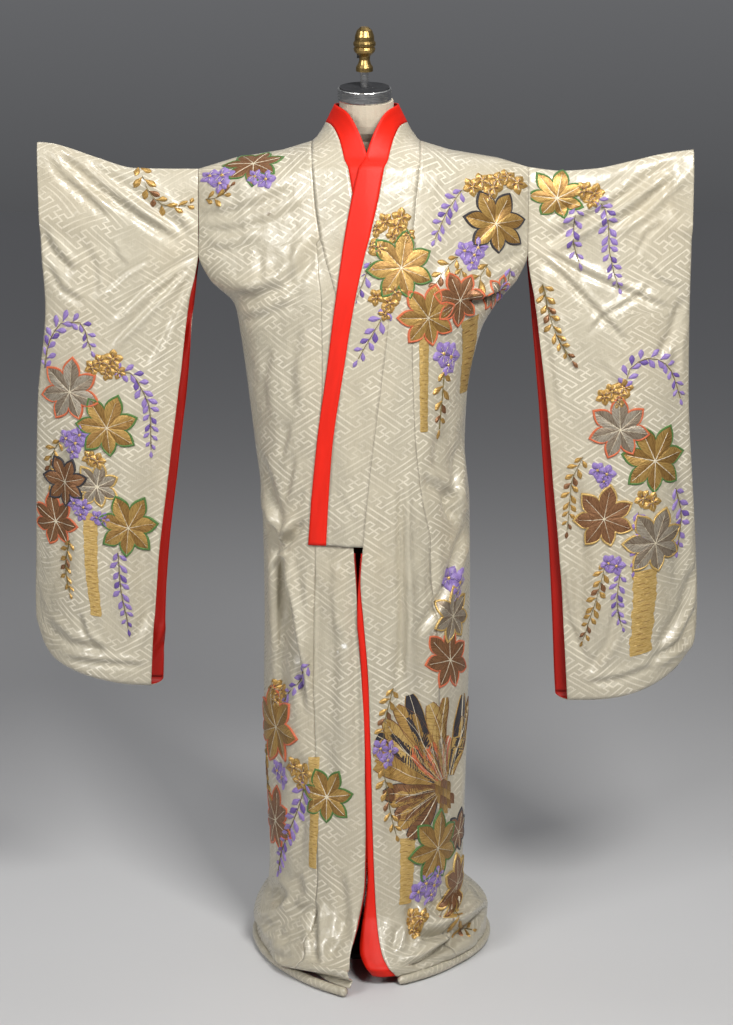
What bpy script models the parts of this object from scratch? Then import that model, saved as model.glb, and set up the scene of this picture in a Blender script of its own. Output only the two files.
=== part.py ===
"""Uchikake wedding kimono on its limbless dress form: metres, +Z up, the front toward -Y."""

import math

import bmesh
import bpy
import numpy as np

# Driving dimensions
CLOTH_WALL = 0.002
SEAM_GAP = 0.0003
SHOULDER_LEVEL = 1.66
SHOULDER_ROUNDING = 0.06
SHOULDER_SLOPE_LEVEL = 1.36
LAP_DEPTH = 0.005
LAP_REACH = 0.19
LAP_FADE = 0.07
FRONTS_BLEND = 0.06
FOLD_FADE_TURN = 0.35
LINING_OFFSET = CLOTH_WALL + 2 * SEAM_GAP
LINING_SHOWN = 0.004
SLEEVE_TOP_LEVEL = 1.64
SLEEVE_BOTTOM_LEVEL = 0.56
SLEEVE_BOTTOM_ROUNDING = 0.012
SLEEVE_HALF_DEPTH = 0.018
SLEEVE_EDGE_HALF_DEPTH = 0.0045
SLEEVE_RISE_LEVEL = 1.30
SLEEVE_LIFT_LEVEL = 1.00
WRIST_OPENING_LEVEL = 1.476
WRIST_FADE = 0.03
KENSAKI_LEVEL = 1.49
COLLAR_END_LEVEL = 0.893
COLLAR_NECK_LEVEL = 1.61
HEM_LEVEL = 0.0212
ROLL_RADIUS = 0.010
ROLL_INSET = 0.004
NECK_TILT = math.radians(12)
CAP_CENTRE = (-0.004, -0.021, 1.7755)
CAP_RADIUS = 0.054
CAP_HEIGHT = 0.0235
PLATE_RADIUS = 0.050
PLATE_HEIGHT = 0.002
ROD_RADIUS = 0.008
ROD_LENGTH = 0.031
POLE_RADIUS = 0.0145
BASE_RADIUS = 0.125
BASE_HEIGHT = 0.048
TORSO_BOTTOM = 0.93
CARRIED_WIDTH = 0.19

# The body by level: half widths, front depths at the middle, back depth, where the sides lie,
# how full the front, back and sides curve, and half the parting between front and back edges.
BODY_COLUMNS = (
    "level right left front_right front_left back side_y full full_back full_side parting"
).split()
BODY = [
    (1.700, 0.338, 0.326, 0.118, 0.118, 0.105, 0.000, 1.45, 1.7, 1.25, 0.01800),
    (1.600, 0.338, 0.326, 0.138, 0.138, 0.120, 0.000, 1.45, 1.7, 1.25, 0.01800),
    (1.540, 0.338, 0.326, 0.150, 0.150, 0.124, 0.000, 1.45, 1.7, 1.25, 0.01800),
    (1.476, 0.340, 0.326, 0.158, 0.158, 0.126, 0.000, 1.50, 1.7, 1.30, 0.01800),
    (1.420, 0.318, 0.306, 0.162, 0.162, 0.127, 0.000, 1.70, 1.9, 1.60, 0.02000),
    (1.364, 0.268, 0.262, 0.165, 0.165, 0.128, 0.002, 2.00, 2.2, 2.00, 0.00015),
    (1.310, 0.258, 0.233, 0.166, 0.166, 0.129, 0.004, 2.10, 2.3, 2.00, 0.00015),
    (1.170, 0.240, 0.206, 0.168, 0.166, 0.130, 0.006, 2.20, 2.4, 2.00, 0.00015),
    (1.080, 0.230, 0.203, 0.168, 0.166, 0.132, 0.008, 2.20, 2.4, 2.00, 0.00015),
    (0.960, 0.217, 0.214, 0.170, 0.168, 0.138, 0.010, 2.10, 2.3, 2.00, 0.00015),
    (0.750, 0.214, 0.217, 0.178, 0.174, 0.152, 0.012, 2.00, 2.2, 2.00, 0.00015),
    (0.530, 0.217, 0.215, 0.190, 0.184, 0.170, 0.014, 1.90, 2.1, 2.00, 0.00015),
    (0.310, 0.210, 0.210, 0.208, 0.200, 0.196, 0.016, 1.75, 2.0, 2.00, 0.00015),
    (0.190, 0.208, 0.207, 0.228, 0.216, 0.222, 0.018, 1.60, 1.9, 2.00, 0.00015),
    (0.130, 0.211, 0.206, 0.250, 0.232, 0.244, 0.020, 1.50, 1.9, 2.00, 0.00015),
    (0.100, 0.226, 0.234, 0.280, 0.254, 0.262, 0.022, 1.42, 1.9, 2.00, 0.00015),
    (0.070, 0.240, 0.262, 0.310, 0.278, 0.280, 0.024, 1.36, 1.9, 2.00, 0.00015),
    (0.050, 0.244, 0.262, 0.348, 0.298, 0.290, 0.027, 1.32, 1.9, 2.00, 0.00015),
    (0.036, 0.238, 0.260, 0.371, 0.314, 0.296, 0.028, 1.30, 1.9, 2.00, 0.00015),
    (0.020, 0.238, 0.260, 0.371, 0.314, 0.296, 0.028, 1.30, 1.9, 2.00, 0.00015),
]

# Distances from the middle, toward the wearer's own side: the collar seam and, below the collar,
# the front edge, then the seam between the overlap panel and the body panel.
EDGE_COLUMNS = "level edge_left edge_right seam_left seam_right".split()
EDGES = [
    (1.660, 0.108, 0.110, 0.1080, 0.1100),
    (1.600, 0.103, 0.106, 0.1030, 0.1060),
    (1.565, 0.098, 0.103, 0.1000, 0.1040),
    (1.500, 0.090, 0.093, 0.0965, 0.1000),
    (1.467, 0.076, 0.084, 0.0940, 0.0980),
    (1.380, 0.050, 0.058, 0.0900, 0.0890),
    (1.248, 0.033, 0.042, 0.0920, 0.0880),
    (1.113, 0.016, 0.028, 0.0980, 0.0900),
    (0.985, 0.001, 0.024, 0.1130, 0.0980),
    (0.893, -0.007, 0.026, 0.1310, 0.1040),
    (0.820, -0.012, 0.022, 0.1340, 0.1050),
    (0.745, -0.006, 0.019, 0.1410, 0.1070),
    (0.620, 0.004, 0.011, 0.1510, 0.1080),
    (0.530, 0.007, 0.006, 0.1500, 0.1080),
    (0.440, 0.010, 0.004, 0.1480, 0.1050),
    (0.310, 0.013, 0.002, 0.1480, 0.1020),
    (0.200, 0.017, 0.004, 0.1500, 0.1020),
    (0.120, 0.022, 0.018, 0.1600, 0.1100),
    (0.065, 0.032, 0.034, 0.1720, 0.1250),
    (0.020, 0.062, 0.036, 0.1820, 0.1380),
]

# Free edge of the wide collar by level, past the middle, and the share of its width that is red.
COLLAR_COLUMNS = "level tip red_share".split()
COLLAR = [
    (1.620, -0.012, 0.42),
    (1.565, -0.027, 0.42),
    (1.500, -0.042, 0.38),
    (1.380, -0.062, 0.34),
    (1.248, -0.079, 0.30),
    (1.113, -0.098, 0.28),
    (0.985, -0.111, 0.31),
    (0.893, -0.118, 0.33),
]

# The collar's free edge round the neck, from the side front to the middle of the back, one row
# for each row of the panels that it is sewn to.
NECK_COLUMNS = "tip_x tip_y tip_z red_share".split()
NECK = [
    (-0.004, -0.124, 1.6620, 0.42),
    (0.006, -0.113, 1.6900, 0.42),
    (0.020, -0.100, 1.7220, 0.43),
    (0.040, -0.076, 1.7520, 0.45),
    (0.056, -0.048, 1.7620, 0.46),
    (0.064, -0.024, 1.7670, 0.48),
    (0.058, 0.024, 1.7690, 0.50),
    (0.000, 0.056, 1.7680, 0.50),
]
NECK_DROP = 0.0214

# Height of the shoulder line by distance from the middle.
SHOULDER = [(0.0, 1.702), (0.108, 1.695), (0.168, 1.677), (0.21, 1.670), (0.265, 1.661), (0.34, 1.638)]

# Largest folds in the body cloth: side, face, distance from the middle at top and bottom, the
# stretch of levels, width and depth. A positive depth is a trough.
FOLD_COLUMNS = "side face x_top x_bottom top bottom width depth".split()
FOLDS = [
    (-1, -1, 0.172, 0.176, 0.93, 0.42, 0.012, 0.022),
    (-1, -1, 0.135, 0.150, 0.84, 0.12, 0.018, -0.008),
    (-1, -1, 0.070, 0.080, 1.30, 0.20, 0.022, 0.008),
    (1, -1, 0.160, 0.178, 1.18, 0.86, 0.016, 0.014),
    (1, -1, 0.060, 0.066, 1.00, 0.16, 0.018, 0.009),
    (1, -1, 0.112, 0.098, 0.90, 0.18, 0.016, -0.007),
    (1, -1, 0.185, 0.188, 0.62, 0.12, 0.014, 0.012),
    (1, 1, 0.070, 0.110, 1.20, 0.10, 0.024, 0.012),
    (1, 1, 0.150, 0.175, 1.00, 0.12, 0.018, 0.012),
    (-1, 1, 0.080, 0.120, 1.15, 0.10, 0.024, 0.012),
    (-1, 1, 0.160, 0.180, 0.95, 0.12, 0.018, 0.012),
]

# The sleeves by height: front layer's inner edge, outer edge, how far the back layer reaches past
# the front one, how far the outer edge curls back and how far the middle swells forward.
SLEEVE_COLUMNS = "z inner_right outer_right inner_left outer_left reach curl swell".split()
SLEEVES = [
    (1.700, 0.3383, 0.662, 0.3263, 0.658, 0.000, 0.000, 0.000),
    (1.476, 0.3403, 0.661, 0.3263, 0.660, 0.000, 0.006, 0.004),
    (1.374, 0.3600, 0.657, 0.3420, 0.661, 0.007, 0.014, 0.008),
    (1.168, 0.3880, 0.680, 0.3690, 0.667, 0.014, 0.030, 0.014),
    (1.000, 0.4110, 0.690, 0.3850, 0.681, 0.016, 0.042, 0.018),
    (0.853, 0.4310, 0.696, 0.4000, 0.694, 0.018, 0.054, 0.020),
    (0.725, 0.4430, 0.702, 0.4100, 0.702, 0.020, 0.064, 0.021),
    (0.560, 0.4530, 0.703, 0.4210, 0.703, 0.022, 0.072, 0.022),
    (0.500, 0.4560, 0.703, 0.4250, 0.703, 0.022, 0.074, 0.022),
]

# Top and bottom of each sleeve across its width, from the body to the wrist.
SLEEVE_ENDS_COLUMNS = "across top_right bottom_right top_left bottom_left".split()
SLEEVE_ENDS = [
    (0.00, 1.6387, 0.562, 1.6423, 0.530),
    (0.20, 1.6390, 0.568, 1.6350, 0.534),
    (0.40, 1.6405, 0.578, 1.6390, 0.542),
    (0.62, 1.6600, 0.592, 1.6540, 0.560),
    (0.82, 1.6820, 0.612, 1.6690, 0.590),
    (0.92, 1.6900, 0.638, 1.6740, 0.618),
    (1.00, 1.6920, 0.690, 1.6770, 0.668),
]

# The dress form: height, half width, front and back depth, lean toward the front, slope of ring.
TORSO_COLUMNS = "z width front back lean slope".split()
TORSO = [
    (0.930, 0.150, 0.105, 0.108, 0.000, 0.0),
    (0.940, 0.160, 0.115, 0.117, 0.000, 0.0),
    (0.990, 0.163, 0.118, 0.120, 0.000, 0.0),
    (1.060, 0.148, 0.104, 0.106, 0.000, 0.0),
    (1.130, 0.130, 0.094, 0.094, 0.000, 0.0),
    (1.220, 0.142, 0.112, 0.096, 0.000, 0.0),
    (1.300, 0.156, 0.134, 0.102, 0.000, 0.0),
    (1.360, 0.163, 0.140, 0.106, 0.000, 0.0),
    (1.430, 0.162, 0.128, 0.109, 0.000, 0.0),
    (1.500, 0.166, 0.110, 0.108, 0.000, 0.0),
    (1.560, 0.174, 0.095, 0.098, 0.000, 0.0),
    (1.610, 0.184, 0.080, 0.086, 0.000, 0.0),
    (1.640, 0.189, 0.062, 0.068, 0.000, 0.0),
]
SHOULDER_RING_DEPTH = 0.040
NECK_RINGS = [
    (1.7010, 0.078, 0.050, 0.048, 0.000, 0.00),
    (1.7120, 0.0620, 0.0545, 0.052, 0.004, 0.06),
    (1.7300, 0.0565, 0.0550, 0.0550, 0.010, 0.14),
    (1.7480, 0.0545, 0.0545, 0.0545, 0.015, 0.19),
    (1.7750, 0.0540, 0.0540, 0.0540, 0.0208, 0.2126),
]

# Turned profiles: radius and height, from the axis at the top to the axis at the foot.
FINIAL_PROFILE = [
    (0, 0.0870),
    (0.0080, 0.0862),
    (0.0150, 0.0800),
    (0.0190, 0.0690),
    (0.0195, 0.0600),
    (0.0222, 0.0560),
    (0.0222, 0.0510),
    (0.0195, 0.0480),
    (0.0220, 0.0440),
    (0.0200, 0.0380),
    (0.0115, 0.0300),
    (0.0105, 0.0220),
    (0.0130, 0.0140),
    (0.0168, 0.0080),
    (0.0172, 0.0000),
    (0, 0.0000),
]
BASE_PROFILE = [
    (0, BASE_HEIGHT),
    (0.022, BASE_HEIGHT),
    (0.026, 0.040),
    (0.034, 0.026),
    (0.110, 0.016),
    (BASE_RADIUS, 0.010),
    (BASE_RADIUS, 0.0),
    (0, 0.0),
]


def table_curves(columns, table):
    """Each named column of a table as a smooth curve over the first column."""
    values = np.array(table, float)
    order = np.argsort(values[:, 0])
    return {name: curve_through(values[order, 0], values[order, i]) for i, name in enumerate(columns) if i}


def columns_of(columns, table):
    """Each named column of a table as an array."""
    return dict(zip(columns, np.array(table, float).T))


def curve_through(at, values):
    """A curve through the points that never overshoots them: a monotone cubic in each stretch."""
    step = np.diff(at)
    rise = np.diff(values) / step
    turning = rise[:-1] * rise[1:] <= 0
    before = np.where(turning, 1.0, rise[:-1])
    after = np.where(turning, 1.0, rise[1:])
    near, far = 2 * step[1:] + step[:-1], step[1:] + 2 * step[:-1]
    slope = np.concatenate(
        [rise[:1], np.where(turning, 0.0, (near + far) / (near / before + far / after)), rise[-1:]]
    )

    def read(x):
        x = np.clip(x, at[0], at[-1])
        i = np.clip(np.searchsorted(at, x) - 1, 0, len(step) - 1)
        t = (x - at[i]) / step[i]
        rising = (t**3 - 2 * t**2 + t) * slope[i] + (t**3 - t**2) * slope[i + 1]
        return (2 * t**3 - 3 * t**2 + 1) * values[i] + (3 * t**2 - 2 * t**3) * values[i + 1] + rising * step[i]

    return read


BODY_AT = table_curves(BODY_COLUMNS, BODY)
EDGE_AT = table_curves(EDGE_COLUMNS, EDGES)
COLLAR_AT = table_curves(COLLAR_COLUMNS, COLLAR)
SLEEVE_AT = table_curves(SLEEVE_COLUMNS, SLEEVES)
SLEEVE_END_AT = table_curves(SLEEVE_ENDS_COLUMNS, SLEEVE_ENDS)
SIDE_NAMES = {-1: "right", 1: "left"}


def smooth_step(x):
    x = np.clip(x, 0, 1)
    return x * x * (3 - 2 * x)


def shoulder_height(x):
    at, height = np.array(SHOULDER).T
    return np.interp(np.abs(x), at, height)


def rounding(drop, radius):
    """0 on a fold's ridge, rising to 1 at one radius below it, as a quarter circle does."""
    share = np.clip(drop / radius, 0, 1)
    return np.sqrt(1 - (1 - share) ** 2)


def fold_depth(side, face, x, level):
    """How far the large folds pull the cloth in at a distance x from the middle."""
    pull = np.zeros(np.broadcast(x, level).shape)
    for row in FOLDS:
        fold = dict(zip(FOLD_COLUMNS, row))
        if (fold["side"], fold["face"]) != (side, face):
            continue
        along = np.clip((fold["top"] - level) / (fold["top"] - fold["bottom"]), 0, 1)
        middle = fold["x_top"] + (fold["x_bottom"] - fold["x_top"]) * along
        pull = pull + fold["depth"] * np.sin(np.pi * along) * np.exp(-(((x - middle) / fold["width"]) ** 2))
    return pull


def half_width(side, x, level):
    """Half the body's width on the side where x lies: past the middle that is the other side."""
    own, other = BODY_AT[SIDE_NAMES[side]](level), BODY_AT[SIDE_NAMES[-side]](level)
    return np.where(np.asarray(x) < 0, other, own)


def turn_of(side, x, level):
    """The turn round the body, 0 in the middle and a right angle at the side, at distance x."""
    share = np.clip(np.abs(x) / half_width(side, x, level), 0, 1) ** (BODY_AT["full"](level) / 2)
    return np.sign(x) * np.arcsin(share)


def body_point(side, face, turn, level, outward=0.0):
    """A point of the body cloth: a superellipse round the body, rounded over the shoulder fold."""
    full = BODY_AT["full"](level) if face < 0 else BODY_AT["full_back"](level)
    x = half_width(side, turn, level) * np.sign(turn) * np.abs(np.sin(turn)) ** (2 / full)
    fade = smooth_step((level - SHOULDER_SLOPE_LEVEL) / (SHOULDER_LEVEL - SHOULDER_SLOPE_LEVEL))
    z = level + (shoulder_height(x) - SHOULDER_LEVEL) * fade
    over = rounding(shoulder_height(x) - z, SHOULDER_ROUNDING)
    depth = BODY_AT["back"](level)
    if face < 0:
        toward_left = smooth_step(side * x / FRONTS_BLEND + 0.5)
        right, left = BODY_AT["front_right"](level), BODY_AT["front_left"](level)
        depth = right + (left - right) * toward_left
    parting = BODY_AT["parting"](level)
    reach = np.cos(turn) ** (2 / BODY_AT["full_side"](level))
    pull = np.where(x < 0, fold_depth(-side, face, -x, level), fold_depth(side, face, x, level))
    pull = pull * smooth_step((np.pi / 2 - turn) / FOLD_FADE_TURN)
    lap = LAP_DEPTH * smooth_step((LAP_REACH - x) / LAP_FADE) if side > 0 and face < 0 else 0.0
    y = BODY_AT["side_y"](level) + face * over * (parting + (depth - parting) * reach + lap + outward - pull)
    return np.stack(np.broadcast_arrays(side * x, y, z), axis=-1)


def levels_down(last, turns, steps):
    """Levels from the shoulder fold down: quarter circle rows first, then the given steps."""
    turn = np.radians(turns)
    over = SHOULDER_LEVEL - SHOULDER_ROUNDING * (1 - np.cos(turn))
    return np.array([*over, *steps, last])


FRONT_LEVELS = levels_down(
    HEM_LEVEL,
    [0, 25, 50, 70, 90],
    [1.56, 1.52, 1.49, 1.476, 1.42, 1.364, 1.30, 1.22, 1.14, 1.06, 0.98, 0.893, 0.82, 0.72, 0.62, 0.52]
    + [0.42, 0.32, 0.23, 0.16, 0.13, 0.10, 0.075, 0.05, 0.035],
)
BACK_LEVELS = levels_down(
    HEM_LEVEL,
    [0, 14, 25, 35, 50, 70, 90],
    [1.56, 1.476, 1.42, 1.364, 1.26, 1.12, 0.98, 0.84, 0.70, 0.55, 0.40, 0.27, 0.18, 0.13, 0.09, 0.06, 0.035],
)
PANEL_TURNS = np.linspace(0, 1, 10)


def body_panel_points(side):
    """One width of cloth from the front hem over the shoulder to the back hem."""
    name = SIDE_NAMES[side]
    level = FRONT_LEVELS[::-1, None]
    inner = np.where(level > KENSAKI_LEVEL, EDGE_AT["edge_" + name](level), EDGE_AT["seam_" + name](level))
    first = turn_of(side, inner + SEAM_GAP, level)
    front = body_point(side, -1, first + (np.pi / 2 - first) * PANEL_TURNS, level)
    level = BACK_LEVELS[1:, None]
    middle = neck_back_edge(level)
    share = np.clip(middle / BODY_AT[name](level), 0, 1)
    first = np.arcsin(share ** (BODY_AT["full_back"](level) / 2))
    back = body_point(side, 1, first + (np.pi / 2 - first) * PANEL_TURNS, level)
    return np.concatenate([front, back])


def neck_back_edge(level):
    """Distance of the back panels' inner edge from the middle: the neck's curve, then the seam."""
    drop = np.clip((SHOULDER_LEVEL - level) / NECK_DROP, 0, 1)
    return EDGE_AT["edge_left"](SHOULDER_LEVEL) * np.sqrt(1 - drop**2) + 1.5 * SEAM_GAP


def overlap_panel_points(side):
    """The tapered strip between the body panel and the collar or the open front edge."""
    name = SIDE_NAMES[side]
    level = FRONT_LEVELS[FRONT_LEVELS <= KENSAKI_LEVEL][::-1, None]
    inner = EDGE_AT["edge_" + name](level) + SEAM_GAP * (level > COLLAR_END_LEVEL - 0.001)
    x = inner + (EDGE_AT["seam_" + name](level) - SEAM_GAP - inner) * np.linspace(0, 1, 5)
    return body_point(side, -1, turn_of(side, x, level), level)


def front_lining_points(side):
    """The red lining behind the open front edge: the cloth's points moved in, and past the edge."""
    cloth = overlap_panel_points(side)[: int(np.sum(FRONT_LEVELS < COLLAR_END_LEVEL - 0.01))]
    lining = moved(cloth, -side * LINING_OFFSET)[:, :3]
    toward = lining[:, 0] - lining[:, 1]
    length = np.linalg.norm(toward, axis=1, keepdims=True)
    lining[:, 0] += toward / length * LINING_SHOWN
    return lining


def moved(grid, distance):
    """The points of a grid moved along its own normals, across the rows by the columns."""
    along, across = np.gradient(grid, axis=0), np.gradient(grid, axis=1)
    normal = np.cross(across, along)
    return grid + distance * normal / np.linalg.norm(normal, axis=2, keepdims=True)


def collar_rows(side):
    """The wide collar on one side, seam to free edge, from its lower end to the back neck."""
    below_neck = (FRONT_LEVELS < COLLAR_NECK_LEVEL) & (FRONT_LEVELS > COLLAR_END_LEVEL - 0.001)
    level = FRONT_LEVELS[below_neck][::-1]
    across = np.linspace(0, 1, 7)
    seam = EDGE_AT["edge_" + SIDE_NAMES[side]](level)[:, None] - SEAM_GAP
    x = seam + (COLLAR_AT["tip"](level)[:, None] - seam) * across
    low = body_point(side, -1, turn_of(side, x, level[:, None]), level[:, None])
    neck = columns_of(NECK_COLUMNS, NECK)
    tips = np.stack([side * neck["tip_x"], neck["tip_y"], neck["tip_z"]], axis=-1)
    panel = body_panel_points(side)
    first = int(np.sum(FRONT_LEVELS < COLLAR_NECK_LEVEL))
    sewn = panel[first : first + len(tips), 0] - (side * 2 * SEAM_GAP, 0, 0)
    sewn[-1, 0] = 0.0
    high = sewn[:, None] + (tips - sewn)[:, None] * across[:, None]
    share = np.concatenate([COLLAR_AT["red_share"](level), neck["red_share"]])
    return np.concatenate([low, high]), share


def collar_points():
    """The band from the wearer's left end round the neck to the right end, with its red shares."""
    left, left_share = collar_rows(1)
    right, right_share = collar_rows(-1)
    return np.concatenate([left, right[-2::-1]]), np.concatenate([left_share, right_share[-2::-1]])


def across_band(band, first, last, count):
    """Points across each row of a band between two shares of its width."""
    place = first[:, None] + (last - first)[:, None] * np.linspace(0, 1, count)
    place = place * (band.shape[1] - 1)
    low = np.clip(place.astype(int), 0, band.shape[1] - 2)
    share = (place - low)[..., None]
    rows = np.arange(len(band))[:, None]
    return band[rows, low] * (1 - share) + band[rows, low + 1] * share


SLEEVE_LEVELS = np.array(
    [1.64, 1.6344, 1.6186, 1.6005, 1.58, 1.53, WRIST_OPENING_LEVEL, 1.38, 1.26, 1.13, 1.00, 0.88, 0.77, 0.68]
    + [0.61, 0.58, 0.572, 0.5635, SLEEVE_BOTTOM_LEVEL]
)
SLEEVE_ACROSS = np.array([0, 0.12, 0.28, 0.44, 0.6, 0.75, 0.87, 0.95, 1.0])


def sleeve_layer(side, face, across, level, inward=0.0):
    """A sleeve's front or back layer: across from the body to the wrist, level from top down."""
    name = SIDE_NAMES[side]
    top = SLEEVE_END_AT["top_" + name](across)
    bottom = SLEEVE_END_AT["bottom_" + name](across)
    rise = smooth_step((level - SLEEVE_RISE_LEVEL) / (SLEEVE_TOP_LEVEL - SLEEVE_RISE_LEVEL))
    lift = smooth_step((SLEEVE_LIFT_LEVEL - level) / (SLEEVE_LIFT_LEVEL - SLEEVE_BOTTOM_LEVEL))
    z = level + (top - SLEEVE_TOP_LEVEL) * rise + (bottom - SLEEVE_BOTTOM_LEVEL) * lift
    over = rounding(top - z, SHOULDER_ROUNDING) * rounding(z - bottom, SLEEVE_BOTTOM_ROUNDING)
    reach = SLEEVE_AT["reach"](z) * over if face > 0 else 0.0
    inner = SLEEVE_AT["inner_" + name](z) - reach
    x = inner + (SLEEVE_AT["outer_" + name](z) - inner) * across
    closed = smooth_step((WRIST_OPENING_LEVEL - level) / WRIST_FADE + 1)
    half = SLEEVE_EDGE_HALF_DEPTH + (SLEEVE_HALF_DEPTH - SLEEVE_EDGE_HALF_DEPTH) * np.sqrt(
        1 - closed * across**4
    )
    middle = SLEEVE_AT["curl"](z) * across**3 - SLEEVE_AT["swell"](z) * np.sin(np.pi * across)
    y = middle + face * over * (half - inward)
    return np.stack(np.broadcast_arrays(side * x, y, z), axis=-1)


def sleeve_rings(side):
    """Closed rings, front layer up and back layer down, one for each place across the sleeve."""
    across = SLEEVE_ACROSS[:, None]
    front = sleeve_layer(side, -1, across, SLEEVE_LEVELS[None, ::-1])
    back = sleeve_layer(side, 1, across, SLEEVE_LEVELS[None, 1:-1])
    return np.concatenate([front, back], axis=1)


def sleeve_lining_points(side):
    """The red lining inside the back layer along the open edge below the armhole."""
    level = SLEEVE_LEVELS[(SLEEVE_LEVELS <= WRIST_OPENING_LEVEL) & (SLEEVE_LEVELS > 0.575)][:, None]
    return sleeve_layer(side, 1, np.linspace(0.004, 0.3, 4), level, LINING_OFFSET)


def torso_rows():
    """The form's rings from the hips to the neck, the shoulder rings under the cloth's own rows."""
    level = np.array(SHOULDER_LEVEL)
    first = turn_of(1, EDGE_AT["edge_left"](level) + SEAM_GAP, level)
    ridge = body_point(1, -1, first + (np.pi / 2 - first) * PANEL_TURNS, level)
    carried = ridge[ridge[:, 0] < CARRIED_WIDTH][::-1]
    drop = CLOTH_WALL + 2 * SEAM_GAP
    shoulder = [
        (z - drop, x, SHOULDER_RING_DEPTH, SHOULDER_RING_DEPTH, 0.0, 0.0) for x, _, z in carried
    ]
    return TORSO + shoulder + NECK_RINGS


def clear_scene():
    for item in list(bpy.data.objects):
        bpy.data.objects.remove(item, do_unlink=True)
    for item in list(bpy.data.meshes):
        bpy.data.meshes.remove(item)


def material(name, colour, roughness, metallic=0.0):
    made = bpy.data.materials.new(name)
    made.use_nodes = True
    shader = made.node_tree.nodes["Principled BSDF"]
    shader.inputs["Base Color"].default_value = (*colour, 1)
    shader.inputs["Roughness"].default_value = roughness
    shader.inputs["Metallic"].default_value = metallic
    return made


def add_object(name, mesh, finish, home):
    made = bpy.data.objects.new(name, mesh)
    home.objects.link(made)
    mesh.materials.append(finish)
    mesh.shade_smooth()
    mesh.set_sharp_from_angle(angle=math.radians(40))
    return made


def grid_faces(rows, columns, ring=False):
    """The quads of a grid of points, with the last column joined to the first on a ring."""
    place = np.arange(rows * columns).reshape(rows, columns)
    if ring:
        place = np.concatenate([place, place[:, :1]], axis=1)
    corners = (place[:-1, :-1], place[:-1, 1:], place[1:, 1:], place[1:, :-1])
    return np.stack(corners, axis=-1).reshape(-1, 4)


def mesh_facing(name, points, faces, facing):
    """A mesh whose middle face looks toward the given direction."""
    middle = points[faces[len(faces) // 2]]
    normal = np.cross(middle[2] - middle[0], middle[3] - middle[1])
    if normal @ np.array(facing, float) < 0:
        faces = faces[:, ::-1]
    mesh = bpy.data.meshes.new(name)
    mesh.from_pydata(points.tolist(), [], faces.tolist())
    mesh.update()
    return mesh


def add_wall(made):
    """Thickens an open sheet inward to the cloth's wall."""
    wall = made.modifiers.new("Wall", "SOLIDIFY")
    wall.thickness = CLOTH_WALL
    wall.offset = -1
    wall.use_even_offset = True
    wall.use_quality_normals = True


def add_cloth(name, grid, facing, finish, home):
    """An open sheet through a grid of points, with the cloth's wall."""
    mesh = mesh_facing(name, grid.reshape(-1, 3), grid_faces(*grid.shape[:2]), facing)
    add_wall(add_object(name, mesh, finish, home))


def wrist_faces():
    """Faces that close a sleeve's outer end below the wrist opening, front layer to back layer."""
    count = len(SLEEVE_LEVELS)
    ring = 2 * count - 2
    start = (len(SLEEVE_ACROSS) - 1) * ring
    shut = int(np.sum(SLEEVE_LEVELS < WRIST_OPENING_LEVEL + 0.001))
    front = start + np.arange(shut)
    back = start + (ring - np.arange(shut)) % ring
    foot = [front[0], front[1], back[1]]
    return [foot, *np.stack([front[1:-1], front[2:], back[2:], back[1:-1]], axis=-1)]


def add_sleeve(side, finish, home):
    """One width of cloth folded at the top, open at the wrist and along the inner edge."""
    name = "sleeve_" + SIDE_NAMES[side]
    rings = sleeve_rings(side)
    mesh = bmesh.new()
    points = [mesh.verts.new(point) for point in rings.reshape(-1, 3)]
    for corners in [*grid_faces(*rings.shape[:2], ring=True)[:, ::-1], *wrist_faces()]:
        mesh.faces.new([points[i] for i in corners])
    bmesh.ops.recalc_face_normals(mesh, faces=mesh.faces[:])
    outer = max(mesh.faces, key=lambda face: abs(face.calc_center_median().x))
    if outer.normal.x * side < 0:
        bmesh.ops.reverse_faces(mesh, faces=mesh.faces[:])
    data = bpy.data.meshes.new(name)
    mesh.to_mesh(data)
    mesh.free()
    add_wall(add_object(name, data, finish, home))


def add_hem_roll(side, finish, home):
    """The padded roll under one side's hem, a thick tube along the cloth's lower edge."""
    name = SIDE_NAMES[side]
    level = np.array(HEM_LEVEL)
    first = turn_of(side, EDGE_AT["edge_" + name](level) + ROLL_RADIUS / 3, level)
    front = body_point(side, -1, first + (np.pi / 2 - first) * np.linspace(0, 1, 13), level)
    back = body_point(side, 1, np.linspace(np.pi / 2, 0.0, 15)[1:], level)
    path = np.concatenate([front, back])
    path[-1, :2] = side * SEAM_GAP, path[-2, 1]
    middle = np.array([0.0, BODY_AT["side_y"](level), 0.0])
    path = middle + (path - middle) * (1 - ROLL_INSET)
    path[:, 2] = HEM_LEVEL - ROLL_RADIUS - 2 * SEAM_GAP
    curve = bpy.data.curves.new("hem_roll_" + name, "CURVE")
    curve.dimensions = "3D"
    curve.bevel_depth = ROLL_RADIUS
    curve.bevel_resolution = 2
    curve.use_fill_caps = True
    line = curve.splines.new("POLY")
    line.points.add(len(path) - 1)
    line.points.foreach_set("co", np.column_stack([path, np.ones(len(path))]).ravel())
    made = bpy.data.objects.new("hem_roll_" + name, curve)
    home.objects.link(made)
    curve.materials.append(finish)


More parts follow.
